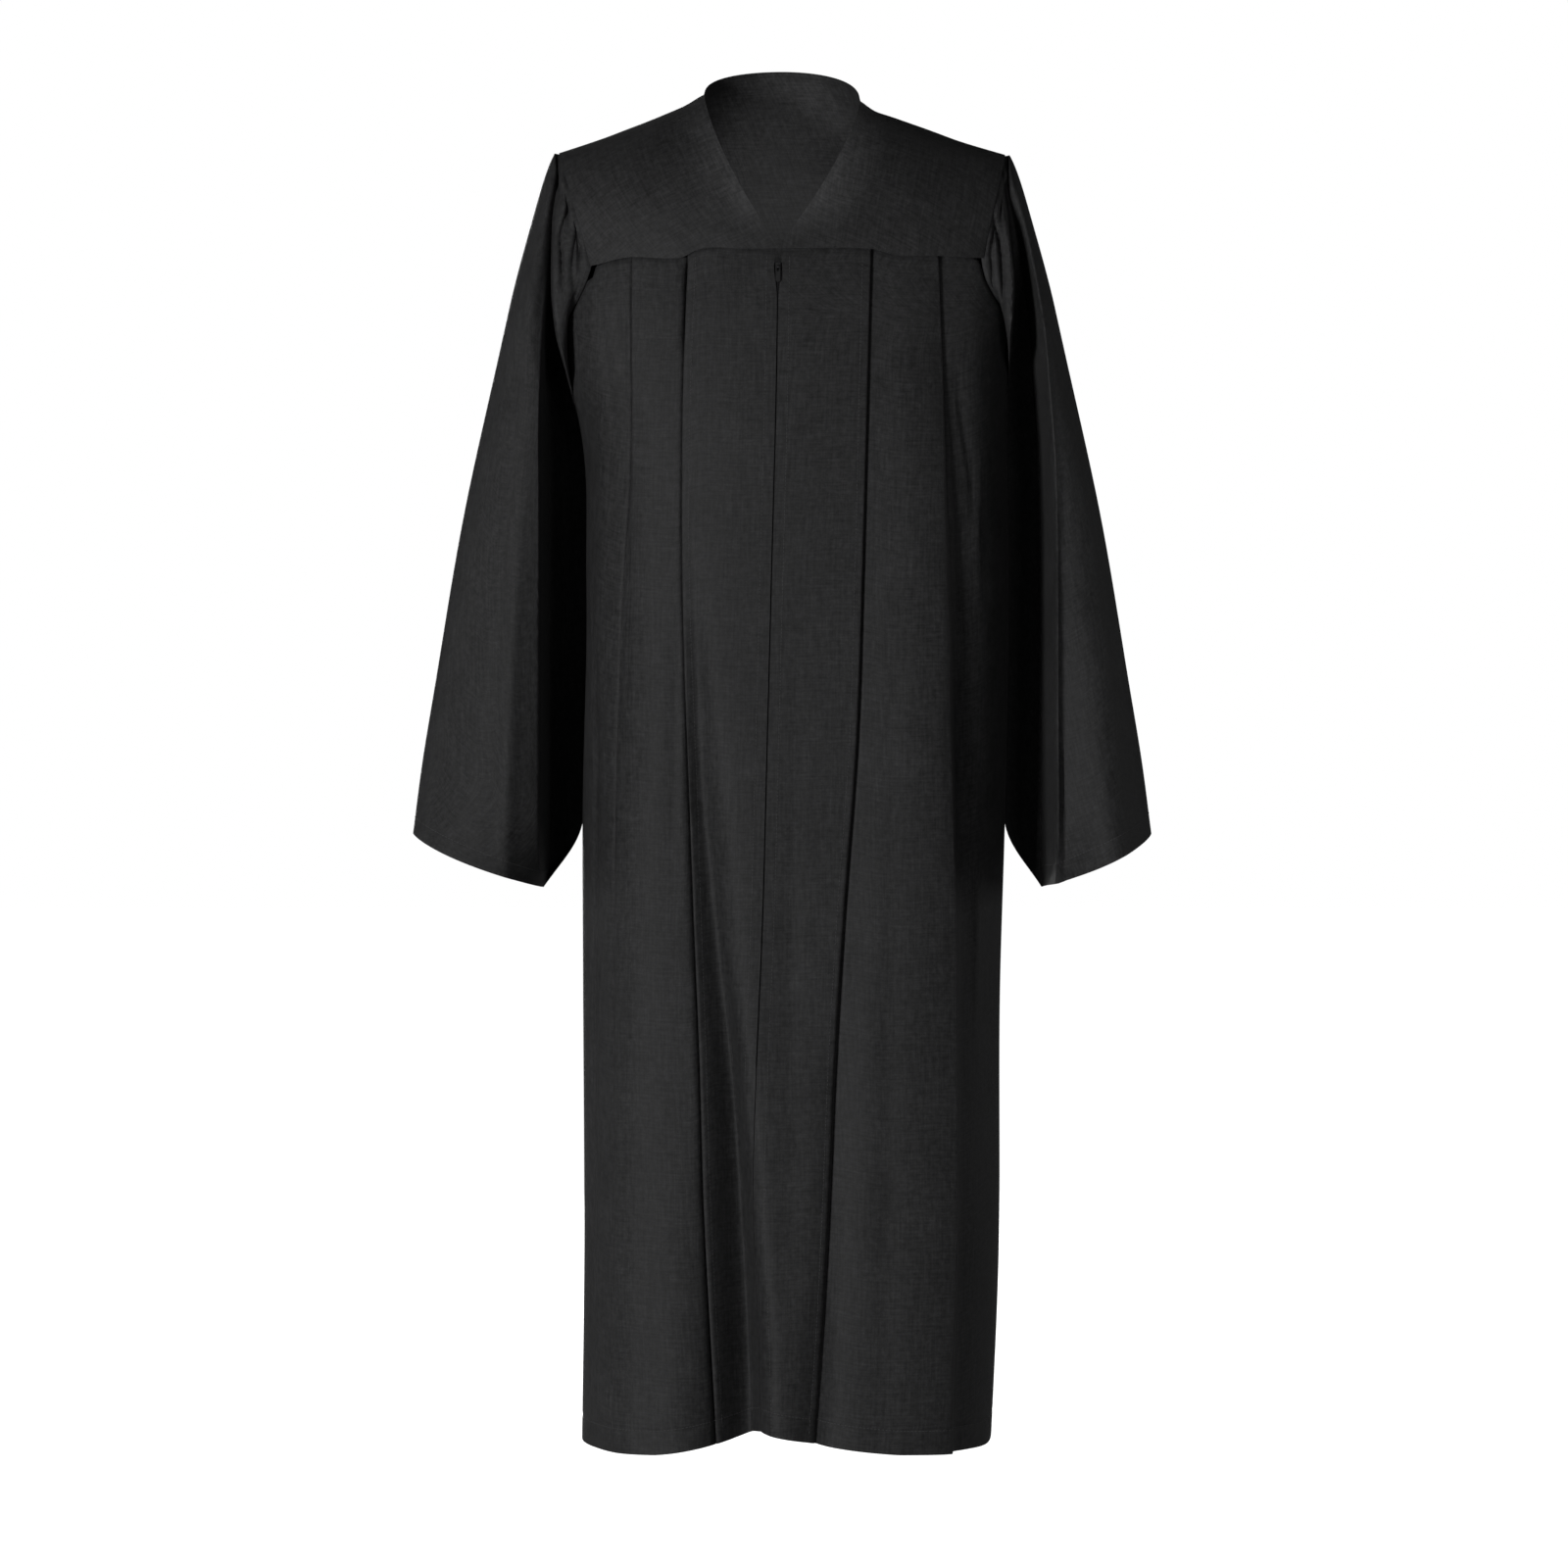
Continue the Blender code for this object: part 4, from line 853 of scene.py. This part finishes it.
CREVICE = {"left": 0.0045, "right": 0.0016}
CREVICE_WIDTH = 0.0028
CROWDING = 0.7


def stretch(start, end, count, first, inset, side):
    """Points between two pleats, outwards: the first is just past the last pleat, which they climb out of."""
    steps = np.linspace(0, 1, count)
    steps = steps - CROWDING * np.sin(2 * math.pi * steps) / (2 * math.pi)
    places = start + first + (end - start - first) * steps
    share = inset / (2 * PLEAT_LIFT)
    insets = inset * (1 - ease((places - start - first) / PLEAT_RISE))
    crevice = CREVICE[SIDE_NAME[side]] * share
    return list(zip(places, insets + crevice * bump(places - start, CREVICE_WIDTH)))


def half_row(start, edges, end, counts, side):
    """One row of a half panel, outwards: reaches and insets. Edges are pairs (reach, opened)."""
    points = [(0.0, 0.0)]
    left_at, left_inset, first = 0.0, 0.0, FIRST_COLUMN
    for (edge, opened), count in zip(edges, counts):
        place = abs(edge - start)
        turns = pleat(opened)
        points += stretch(left_at, place + turns[0][0], count + 1, first, left_inset, side)[:-1]
        points += [(place + past, inset) for past, inset in turns]
        left_at, left_inset = place + max(0.0, turns[-1][0]), turns[-1][1]
        first = PLEAT_PAST
    points += stretch(left_at, abs(end - start), counts[-1] + 1, first, left_inset, side)
    return [(start + side * place, inset) for place, inset in points]


ZIP_END = 0.898
SLIT_HALF = 0.0006
FRONT_SEAM_HALF = 0.0003
SLIT_PART = 0.0036
SLIT_PART_DROP = 0.1615
SLIT_PART_LENGTH = 0.017


def slit_half(drop):
    """Half of the gap between the fronts: a seam below the zip, a slit along it, parted at the slider."""
    if drop > ZIP_END:
        return FRONT_SEAM_HALF
    part = math.exp(-(((drop - SLIT_PART_DROP) / SLIT_PART_LENGTH) ** 2))
    return SLIT_HALF + (SLIT_PART - SLIT_HALF) * part


ARMHOLE_ROWS = 26
PANEL_ROWS = 170
FRONT_STRETCHES = (44, 30, 46)
BACK_STRETCHES = (26, 22, 40)
FIRST_COLUMN = 0.003
TUCK = 0.003
TUCK_INSET = 0.0024
TUCK_LEVEL = 0.0055
TUCK_END = 0.004
TOP_LEVELS = (0.0, 0.0008, 0.0016, 0.0024, 0.0033, 0.0044)
HEM_TURN = 0.022
HEM_PULL = 0.0006
HEM_PULL_WIDTH = 0.002
EDGE_ROLL = 0.0026
EDGE_ROLL_WIDTH = 0.0035
EDGE_ROLL_FADE = 0.01
HEM_ROWS = (0.0300, 0.0260, 0.0235, 0.0220, 0.0205, 0.0180, 0.0120, 0.0050, 0.0020, 0.0)


def panel_levels():
    """Shares of the way from the yoke seam to the hem: close rows at the armhole, even ones below."""
    turns = np.linspace(0, math.pi / 2, ARMHOLE_ROWS)
    last = 1 - np.array(HEM_ROWS) / (BACK_HEM - BACK_SEAM)
    lower = np.linspace(ARMPIT_LEVEL, last[0], PANEL_ROWS - ARMHOLE_ROWS + 1)
    upper = ARMPIT_LEVEL * np.sin(turns)
    return np.concatenate((TOP_LEVELS, upper[2:], lower[1:], last[1:]))


def panel_edge(face, side, level):
    """Reach of a panel's outer edge: the armhole above the armpit, the side seam below it."""
    if level < ARMPIT_LEVEL:
        return armhole(face, side, level)
    drop = level_drop(face, side * CORNER_REACH, level)
    return float(reach_of_side(face, drop, side)[0]) - side * SEAM / 2


def panel_points(face, row, level):
    """Points of one row of a panel, its top tucked under the yoke."""
    reach, inset = np.array(row).T
    tuck = 1 - ease(level / TUCK_LEVEL)
    turned = HEM_PULL * bump((1 - level) * (BACK_HEM - BACK_SEAM) - HEM_TURN, HEM_PULL_WIDTH)
    rolled = EDGE_ROLL * bump(reach - reach[-1], EDGE_ROLL_WIDTH)
    rolled = rolled * (1 - ease((level - ARMPIT_LEVEL) / EDGE_ROLL_FADE))
    inset = inset + TUCK_INSET * tuck + turned + rolled
    return trunk_points(face, reach, level_drop(face, reach, level, TUCK), inset, face == "front")


def line_at(line, drop):
    """Reach of a line down the front at a drop."""
    return reach_at("front", drop, read(FRONT_LINES, line, drop))


def line_reach(line, level):
    """Reach of a line down the front at a level, with its drop."""
    drop = float(level_drop("front", FRONT_LINES[line][0], level)[0])
    drop = float(level_drop("front", line_at(line, drop), level)[0])
    return line_at(line, drop), drop


def front_grid(side_name):
    """Points of a front, from the zip to the side seam, with an inner and an outer knife pleat."""
    side = SIDE[side_name]
    grid = []
    for level in panel_levels():
        zip_reach, drop = line_reach("zip", level)
        start = zip_reach + side * slit_half(drop)
        edges = []
        for line in ("inner", "outer"):
            reach, edge_drop = line_reach(f"{line}_{side_name}", level)
            edges.append((reach, float(read(OPENING, line, edge_drop))))
        row = half_row(start, edges, panel_edge("front", side, level), FRONT_STRETCHES, side)
        grid.append(panel_points("front", row, level))
    return np.array(grid)


def back_grid():
    """Points of the back, from side seam to side seam, with two knife pleats each side of its middle."""
    grid = []
    for level in panel_levels():
        opened = float(read(OPENING, "back", float(level_drop("back", 0.0, level)[0])))
        halves = []
        for side in (-1, 1):
            edges = [(side * place, opened) for place in BACK_PLEATS]
            row = half_row(0.0, edges, panel_edge("back", side, level), BACK_STRETCHES, side)
            halves.append(panel_points("back", row, level))
        grid.append(np.concatenate((halves[0][::-1], halves[1][1:])))
    return np.array(grid)


# Yokes

YOKE_ROWS = 44
YOKE_COLUMNS = 48
BACK_YOKE_COLUMNS = 62
YOKE_LIP_ROWS = 6
YOKE_LIP = 0.0020
YOKE_LIP_OUT = 0.0013


def shoulder_points(across):
    """Points of the shoulder line at distances from the middle."""
    sag = np.where(across > 0, read(SHOULDER_SAG, "drop", across), 0)
    return np.stack((across, 0 * across, -read(SHOULDER, "drop", np.abs(across)) - sag), axis=-1)


def yoke_points(face, side, share, downs, leans, starts):
    """Points of a yoke half: shares from the neck to the armhole, down from the shoulder to the seam."""
    first = line_reach("zip", 0.0)[0] + side * SEAM / 2 if face == "front" else 0.0
    reach = first + (armhole(face, side, 0.0) - first) * share
    seam = trunk_points(face, reach, seam_drop(face, reach) - SEAM / 2)
    grid = []
    for down in downs:
        angle = leans + (math.pi / 2 - leans) * down
        fall = (np.cos(leans) - np.cos(angle)) / np.cos(leans)
        out = (np.sin(angle) - np.sin(leans)) / (1 - np.sin(leans))
        inward = fall ** (NECK_CURVE + (1 - NECK_CURVE) * share)
        grid.append(starts + (seam - starts) * np.stack((inward, out, fall), axis=-1))
    return np.array(grid)


def with_lip(points):
    """A yoke with its lower edge carried down over the panel, standing a little proud of it."""
    away = unit(points[-1] - points[-2])
    out = faces_out(points)[-1]
    if out[:, 1].mean() * points[-1][:, 1].mean() < 0:
        out = -out
    points = points.copy()
    for step in range(1, YOKE_LIP_ROWS + 1):
        points[step - YOKE_LIP_ROWS - 1] += out * YOKE_LIP_OUT * ease(step / YOKE_LIP_ROWS)
    return np.concatenate((points, points[-1:] + away * YOKE_LIP))


def front_yoke_grid(side_name):
    """A front yoke, with its neck edge slanting down to the top of the zip."""
    side = SIDE[side_name]
    share = np.linspace(0, 1, YOKE_COLUMNS)
    starts = shoulder_points(side * (NECK_SIDE + (SHOULDER_TIP - NECK_SIDE) * share))
    starts[:, 1] = -SEAM / 2
    downs = np.linspace(0, 1, YOKE_ROWS)
    return with_lip(yoke_points("front", side, share, downs, 0 * share, starts))


def back_yoke_grid():
    """The back yoke, from armhole to armhole, standing up at the back of the neck."""
    halves = []
    for side in (-1, 1):
        share = np.linspace(0, 1, BACK_YOKE_COLUMNS)
        turn = math.pi / 2 * np.minimum(share / NECK_BACK_SHARE, 1)
        side_drop = -float(shoulder_points(np.array([side * NECK_SIDE]))[0, 2])
        collar = np.stack((
            side * NECK_SIDE * np.sin(turn),
            SEAM / 2 + NECK_BACK_DEPTH * np.cos(turn),
            (NECK_BACK_RISE + side_drop) * np.abs(np.cos(turn)) ** NECK_BACK_CURVE - side_drop,
        ), axis=-1)
        past = np.clip((share - NECK_BACK_SHARE) / (1 - NECK_BACK_SHARE), 0, 1)
        slope = shoulder_points(side * (NECK_SIDE + (SHOULDER_TIP - NECK_SIDE) * past))
        slope[:, 1] = SEAM / 2
        inner = share < NECK_BACK_SHARE
        starts = np.where(inner[:, None], collar, slope)
        leans = np.where(inner, NECK_BACK_LEAN * np.cos(turn), 0.0)
        halves.append(yoke_points("back", side, share, np.linspace(0, 1, YOKE_ROWS), leans, starts))
    return with_lip(np.concatenate((halves[0][:, ::-1], halves[1][:, 1:]), axis=1))


# Sleeves

LOOP_STEPS = 40
SWING_STEPS = 960
SLEEVE_ROWS = 170
SLEEVE_ROW_BEND = 1.25
SLEEVE_EDGE_FADE = 3
CUFF_BOW_LEAN = 0.6
ARM_MIDDLE = 0.25
SLEEVE_BAND_STEPS = 64
SLEEVE_WALL_STEPS = 14
SLEEVE_FLOOR_STEPS = 40
SLEEVE_BACK_STEPS = 64


def armhole_edges(side):
    """Points of the armhole from the shoulder tip to the armpit, down its front and down its back."""
    edges = []
    for face in ("front", "back"):
        start = shoulder_points(np.array([side * SHOULDER_TIP]))
        downs = np.linspace(0, 1, LOOP_STEPS)[:-1]
        edge = list(yoke_points(face, side, np.ones(1), downs, np.zeros(1), start)[:, 0])
        for turn in np.linspace(0, math.pi / 2, LOOP_STEPS):
            level = ARMPIT_LEVEL * math.sin(turn)
            reach = armhole(face, side, level)
            edge.append(trunk_points(face, reach, level_drop(face, reach, level)).reshape(3))
        edges.append(np.array(edge))
    return edges


def armhole_loop(edges, turns):
    """Points of the armhole at turns from the shoulder tip, down its front and up its back."""
    halves = (turns[turns <= math.pi] / math.pi, 2 - turns[turns > math.pi] / math.pi)
    loop = []
    for edge, shares in zip(edges, halves):
        run = run_of(edge)
        loop.append(points_at(shares * run[-1], run, edge))
    return np.concatenate(loop)


def sleeve_plane(side, share, swing):
    """Places across and heights on a sleeve's section, at swings of 1 at its outer edge, -1 at the inner."""
    outer = side * read(SLEEVE, "outer", share)
    top = -read(SLEEVE, "outer_drop", share)
    low = read(SLEEVE, "inner_drop", share)
    trunk_side = read(TRUNK, "middle", low) + side * read(TRUNK, "half", low)
    inner = trunk_side + side * read(SLEEVE, "flare", share)
    across = (outer + inner) / 2 + (outer - inner) / 2 * swing
    return across, (top - low) / 2 + (top + low) / 2 * swing


def hollow_strength(side, across, drop):
    """How far points of the sleeve's front are drawn back into the deep hollow, from 0 to 1."""
    hollow, edge = HOLLOWS[SIDE_NAME[side]], HOLLOW_EDGE[SIDE_NAME[side]]
    outer = read(hollow, "outer", drop) + HOLLOW_FOOT
    inner = read(hollow, "inner", drop) - HOLLOW_FOOT
    within = ease((outer - np.abs(across)) / (edge + HOLLOW_FOOT))
    within = within * ease((np.abs(across) - inner) / (HOLLOW_FOOT * 2))
    return np.clip(read(hollow, "strength", drop), 0, 1) * within


def hollow_turn(side, share, offset):
    """Turn of a section at which it meets the outer edge of the hollow, moved outwards by an offset."""
    swings = np.linspace(1, -1, SWING_STEPS)
    across, height = sleeve_plane(side, max(share, HOLLOW_START), swings)
    misses = np.abs(np.abs(across) - read(HOLLOWS[SIDE_NAME[side]], "outer", -height) - offset)
    swing = swings[int(np.argmin(misses))]
    return math.acos(math.copysign(abs(swing) ** (SLEEVE_SQUARENESS / 2), swing))


def sleeve_turns(side, share):
    """Turns of a section's points: close together down the side of the hollow, even elsewhere."""
    edge = hollow_turn(side, share, HOLLOW_FOOT)
    foot = hollow_turn(side, share, -HOLLOW_EDGE[SIDE_NAME[side]])
    return np.concatenate((
        np.linspace(0, edge, SLEEVE_BAND_STEPS, endpoint=False),
        np.linspace(edge, foot, SLEEVE_WALL_STEPS, endpoint=False),
        np.linspace(foot, math.pi, SLEEVE_FLOOR_STEPS, endpoint=False),
        np.linspace(math.pi, 2 * math.pi, SLEEVE_BACK_STEPS, endpoint=False),
    ))


def sleeve_ring(side, share, turns):
    """Section of a sleeve, on a plane that leans from upright at the armhole to nearly level at the cuff."""
    across, height = sleeve_plane(side, share, power(np.cos(turns), SLEEVE_SQUARENESS))
    depth = np.where(turns < math.pi, read(SLEEVE, "front", share), read(SLEEVE, "back", share))
    return np.stack((across, -depth * power(np.sin(turns), SLEEVE_SQUARENESS), height), axis=-1)


def draw_in(side, ring, turns):
    """A section with its front drawn back into the deep hollow."""
    deep = ring[:, 1]
    strength = hollow_strength(side, ring[:, 0], -ring[:, 2])
    base = HOLLOW_FLOOR * strength[int(np.argmin(np.abs(turns - math.pi)))]
    depth = deep.max()
    front = deep + (HOLLOW_FLOOR - deep) * strength
    back = base + (depth - base) * deep / depth
    ring[:, 1] = np.where(turns <= math.pi, front, np.where(turns < 1.5 * math.pi, back, deep))
    return ring


def gather_depth(turn, share):
    """Depth of the head's gathers, at turns in degrees and a share of the length."""
    total = np.zeros_like(turn)
    for gather in GATHERS:
        part = min(share / gather["share"], 1.0)
        middle = gather["start"] + (gather["end"] - gather["start"]) * part ** gather["bend"]
        growth = ease(share / GATHER_GROWTH) * (1 - ease(part))
        total += gather["depth"] * growth * bump(turn - middle, gather["width"])
    return total


def fold_sleeve(side_name, ring, turns, share):
    """A section with the folds of its front and back drawn in, and its cuff bowed down."""
    side = SIDE[side_name]
    growth = float(ease(share / GATHER_GROWTH))
    for face, inward in (("front", 1), ("back", -1)):
        here = turns <= math.pi if face == "front" else turns > math.pi
        place, drop = side * ring[here, 0], -ring[here, 2]
        total = np.zeros_like(place)
        for line in SLEEVE_FOLDS[side_name, face]:
            total += folded(line, read(line, "across", drop), place, drop)
        edges = np.clip(np.abs(np.sin(turns[here])) * SLEEVE_EDGE_FADE, 0, 1)
        ring[here, 1] += inward * total * edges * growth
    swing = np.cos(turns)
    lowered = ease((share - CUFF_BOW_START) / (1 - CUFF_BOW_START))
    ring[:, 2] -= CUFF_BOW * lowered * (1 - swing * swing) * (1 + CUFF_BOW_LEAN * swing)
    return ring


def sleeve_grid(side_name):
    """Points of a sleeve: a tube from the armhole, gathered at its head, to the open cuff."""
    side = SIDE[side_name]
    edges = armhole_edges(side)
    grid = []
    for share in np.linspace(0, 1, SLEEVE_ROWS) ** SLEEVE_ROW_BEND:
        turns = sleeve_turns(side, share)
        loop = armhole_loop(edges, turns)
        hub = loop.mean(axis=0)
        hub[0] = side * SHOULDER_TIP
        roll = ease(share / SLEEVE_ROLL_SHARE)
        seam = loop + unit(hub - loop) * SLEEVE_TUCK * (1 - roll)
        lift = SLEEVE_ROLL * roll * (1 - bump(np.degrees(turns) - 180, SLEEVE_ROLL_TURN))
        seam[:, 0] += side * (lift - SLEEVE_TUCK)
        ring = sleeve_ring(side, share, turns)
        middle = ring.mean(axis=0)
        blend = ease(share / SLEEVE_SET)
        ring = draw_in(side, seam * (1 - blend) + ring * blend, turns)
        degrees = (np.degrees(turns) + 180) % 360 - 180
        ring = ring + unit(middle - ring) * gather_depth(degrees, share)[:, None]
        ring = fold_sleeve(side_name, ring, turns, share)
        grid.append(np.concatenate((ring, ring[:1])))
    return np.array(grid)


# Sewing and zip teeth

STITCH_LENGTH = 0.0026
STITCH_PITCH = 0.0034
STITCH_WIDTH = 0.00070
STITCH_SIDES = 6
STITCH_END_SHARE = 0.2
STITCH_END_DIP = 0.00012
SEWN_STEPS = 220
PLACKET_STITCH = 0.0105
PLEAT_STITCH = 0.0065
STITCH_TOP = 0.150
STITCH_END = 1.238
STITCH_SINK = 0.00005
STEP_SHOWN = 0.0004
CUFF_TURN = 0.022
TOOTH_PITCH = 0.0015
TOOTH_TOP = 0.170
TOOTH_END = 0.896
TOOTH_SIZE = (0.0009, 0.0019, 0.0012)
TOOTH_INSET = 0.0016
TOOTH_SHIFT = 0.0004
TOOTH_EDGE = 0.0002


def one_stitch():
    """One stitch along Y, modelled once: a short thread that is pulled in at its ends."""
    bpy.ops.object.select_all(action="DESELECT")
    end_length = STITCH_LENGTH * STITCH_END_SHARE
    bpy.ops.mesh.primitive_cylinder_add(
        vertices=STITCH_SIDES, radius=STITCH_WIDTH / 2,
        depth=STITCH_LENGTH - 2 * end_length, rotation=(math.pi / 2, 0, 0),
    )
    stitch = bpy.context.object
    bpy.ops.object.transform_apply(location=False, rotation=True, scale=False)
    for end in (-1, 1):
        bpy.ops.object.mode_set(mode="EDIT")
        bpy.ops.mesh.select_all(action="DESELECT")
        bpy.ops.object.mode_set(mode="OBJECT")
        for face in stitch.data.polygons:
            face.select = face.normal.y * end > 0.9
        bpy.ops.object.mode_set(mode="EDIT")
        bpy.ops.mesh.extrude_region_move(
            TRANSFORM_OT_translate={"value": (0, end * end_length, -STITCH_END_DIP)}
        )
        bpy.ops.transform.resize(
            value=(0.5, 0.5, 0.5), center_override=(0, end * STITCH_LENGTH / 2, -STITCH_END_DIP)
        )
        bpy.ops.object.mode_set(mode="OBJECT")
    return stitch


def one_tooth():
    """One turn of the zip's coil, modelled once: a rounded bar across the zip."""
    bpy.ops.object.select_all(action="DESELECT")
    bpy.ops.mesh.primitive_cube_add(size=1)
    tooth = bpy.context.object
    bpy.ops.transform.resize(value=TOOTH_SIZE)
    bpy.ops.object.transform_apply(location=False, rotation=False, scale=True)
    edge = tooth.modifiers.new("edge", "BEVEL")
    edge.width = TOOTH_EDGE
    edge.segments = 1
    bpy.ops.object.modifier_apply(modifier=edge.name)
    return tooth


def copies(name, pattern, places, alongs, outs, material):
    """Copies of a small piece in one object, its Y turned along a line and its Z out of the cloth."""
    own = np.array([corner.co for corner in pattern.data.vertices])
    faces = [list(face.vertices) for face in pattern.data.polygons]
    alongs = unit(alongs)
    sides = unit(np.cross(alongs, outs))
    outs = np.cross(sides, alongs)
    corners = (
        places[:, None] + own[None, :, :1] * sides[:, None] + own[None, :, 1:2] * alongs[:, None]
        + own[None, :, 2:] * outs[:, None]
    ).reshape(-1, 3)
    mesh = bpy.data.meshes.new(name)
    starts = range(0, len(places) * len(own), len(own))
    copied = [[corner + start for corner in face] for start in starts for face in faces]
    mesh.from_pydata(corners.tolist(), [], copied)
    laid = mesh.uv_layers.new(name="cloth")
    used = np.zeros(len(mesh.loops), dtype=np.int32)
    mesh.loops.foreach_get("vertex_index", used)
    laid.data.foreach_set("uv", corners[used][:, (0, 2)].astype(np.float32).reshape(-1))
    piece = bpy.data.objects.new(name, mesh)
    bpy.context.collection.objects.link(piece)
    mesh.materials.append(material)
    mesh.shade_smooth()
    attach(piece, "gown")
    return piece


def sew(name, line, outs):
    """A row of stitches along a line on the cloth."""
    run = run_of(line)
    places = np.arange(STITCH_PITCH, run[-1] - STITCH_PITCH, STITCH_PITCH)
    spots = points_at(places, run, line)
    alongs = points_at(places + STITCH_PITCH / 2, run, line) - spots
    normals = unit(points_at(places, run, outs))
    spots = spots + normals * (CLOTH / 2 - STITCH_SINK)
    return copies(name, STITCH, spots, alongs, normals, THREAD_BLACK)


def sew_down(name, line_name, offset):
    """A row of stitches down the front, at a distance across from one of its lines."""
    drops = np.linspace(STITCH_TOP, STITCH_END, SEWN_STEPS)
    reaches = np.array([line_at(line_name, drop) for drop in drops]) + offset
    line = trunk_points("front", reaches, drops)
    outs = trunk_points("front", reaches, drops, -CLOTH) - line
    return sew(name, line, outs)


def sew_round(name, points, row, pleated=False):
    """A row of stitches across a sheet, on the cloth that shows and not on what a pleat folds under."""
    outs = faces_out(points)[row]
    line = points[row]
    if pleated:
        onward = np.sign(line[-1, 0] - line[0, 0])
        shown = [0]
        for place in range(1, len(line)):
            if onward * (line[place, 0] - line[shown[-1], 0]) > STEP_SHOWN:
                shown.append(place)
        line, outs = line[shown], outs[shown]
    return sew(name, line, outs)


def row_above_edge(points, distance):
    """Row of a sheet that lies nearest to a distance above its lower edge."""
    length = lengths_along(points, 0)
    return int(np.argmin(np.abs(length[-1].mean() - length.mean(axis=1) - distance)))


# Building

def outward(points, middle=(0.0, 0.0)):
    """The same points, with the columns turned round where the sheet would face inwards."""
    out = faces_out(points)
    away = points[..., :2] - np.array(middle)
    return points if (out[..., :2] * away).sum() > 0 else points[:, ::-1]


STITCH = one_stitch()
TOOTH = one_tooth()
for side_name, side in SIDE.items():
    points = outward(front_grid(side_name))
    seams = [
        sew_down(f"placket_stitches_{side_name}", "zip", side * PLACKET_STITCH),
        sew_down(f"pleat_stitches_{side_name}", f"inner_{side_name}", -side * PLEAT_STITCH),
        sew_round(f"hem_stitches_front_{side_name}", points, row_above_edge(points, HEM_TURN), True),
    ]
    panel = lay_sheet(f"front_panel_cloth_{side_name}", points)
    declare(panel, f"front_panel_{side_name}")
    points = outward(front_yoke_grid(side_name))
    yoke = lay_sheet(f"front_yoke_cloth_{side_name}", points)
    declare(yoke, f"front_yoke_{side_name}")
    points = outward(sleeve_grid(side_name), (side * ARM_MIDDLE, 0.0))
    cuff = sew_round(f"cuff_stitches_{side_name}", points, row_above_edge(points, CUFF_TURN))
    sleeve = lay_sheet(f"sleeve_cloth_{side_name}", points, closed=True)
    declare(sleeve, f"sleeve_{side_name}")
points = outward(back_grid())
hem = sew_round("hem_stitches_back", points, row_above_edge(points, HEM_TURN), True)
declare(lay_sheet("back_panel_cloth", points), "back_panel")
points = outward(back_yoke_grid())
declare(lay_sheet("back_yoke_cloth", points), "back_yoke")

for side_name, side in SIDE.items():
    drops = np.arange(TOOTH_TOP, TOOTH_END, TOOTH_PITCH) + (TOOTH_PITCH / 2 if side > 0 else 0)
    reaches = np.array([line_at("zip", drop) for drop in drops]) + side * TOOTH_SHIFT
    middles = trunk_points("front", reaches, drops, TOOTH_INSET)
    outs = trunk_points("front", reaches, drops) - middles
    across = np.cross(np.gradient(middles, axis=0), outs)
    copies(f"zip_teeth_{side_name}", TOOTH, middles, across, outs, TAPE_BLACK)
for pattern in (STITCH, TOOTH):
    bpy.data.objects.remove(pattern)

ZIP_FINISHES = {
    "zip_tape_left": TAPE_BLACK, "zip_tape_right": TAPE_BLACK,
    "zip_slider": ZIP_METAL, "zip_pull_tab": ZIP_METAL,
}
for node, material in ZIP_FINISHES.items():
    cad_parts[node].data.materials.clear()
    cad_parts[node].data.materials.append(material)
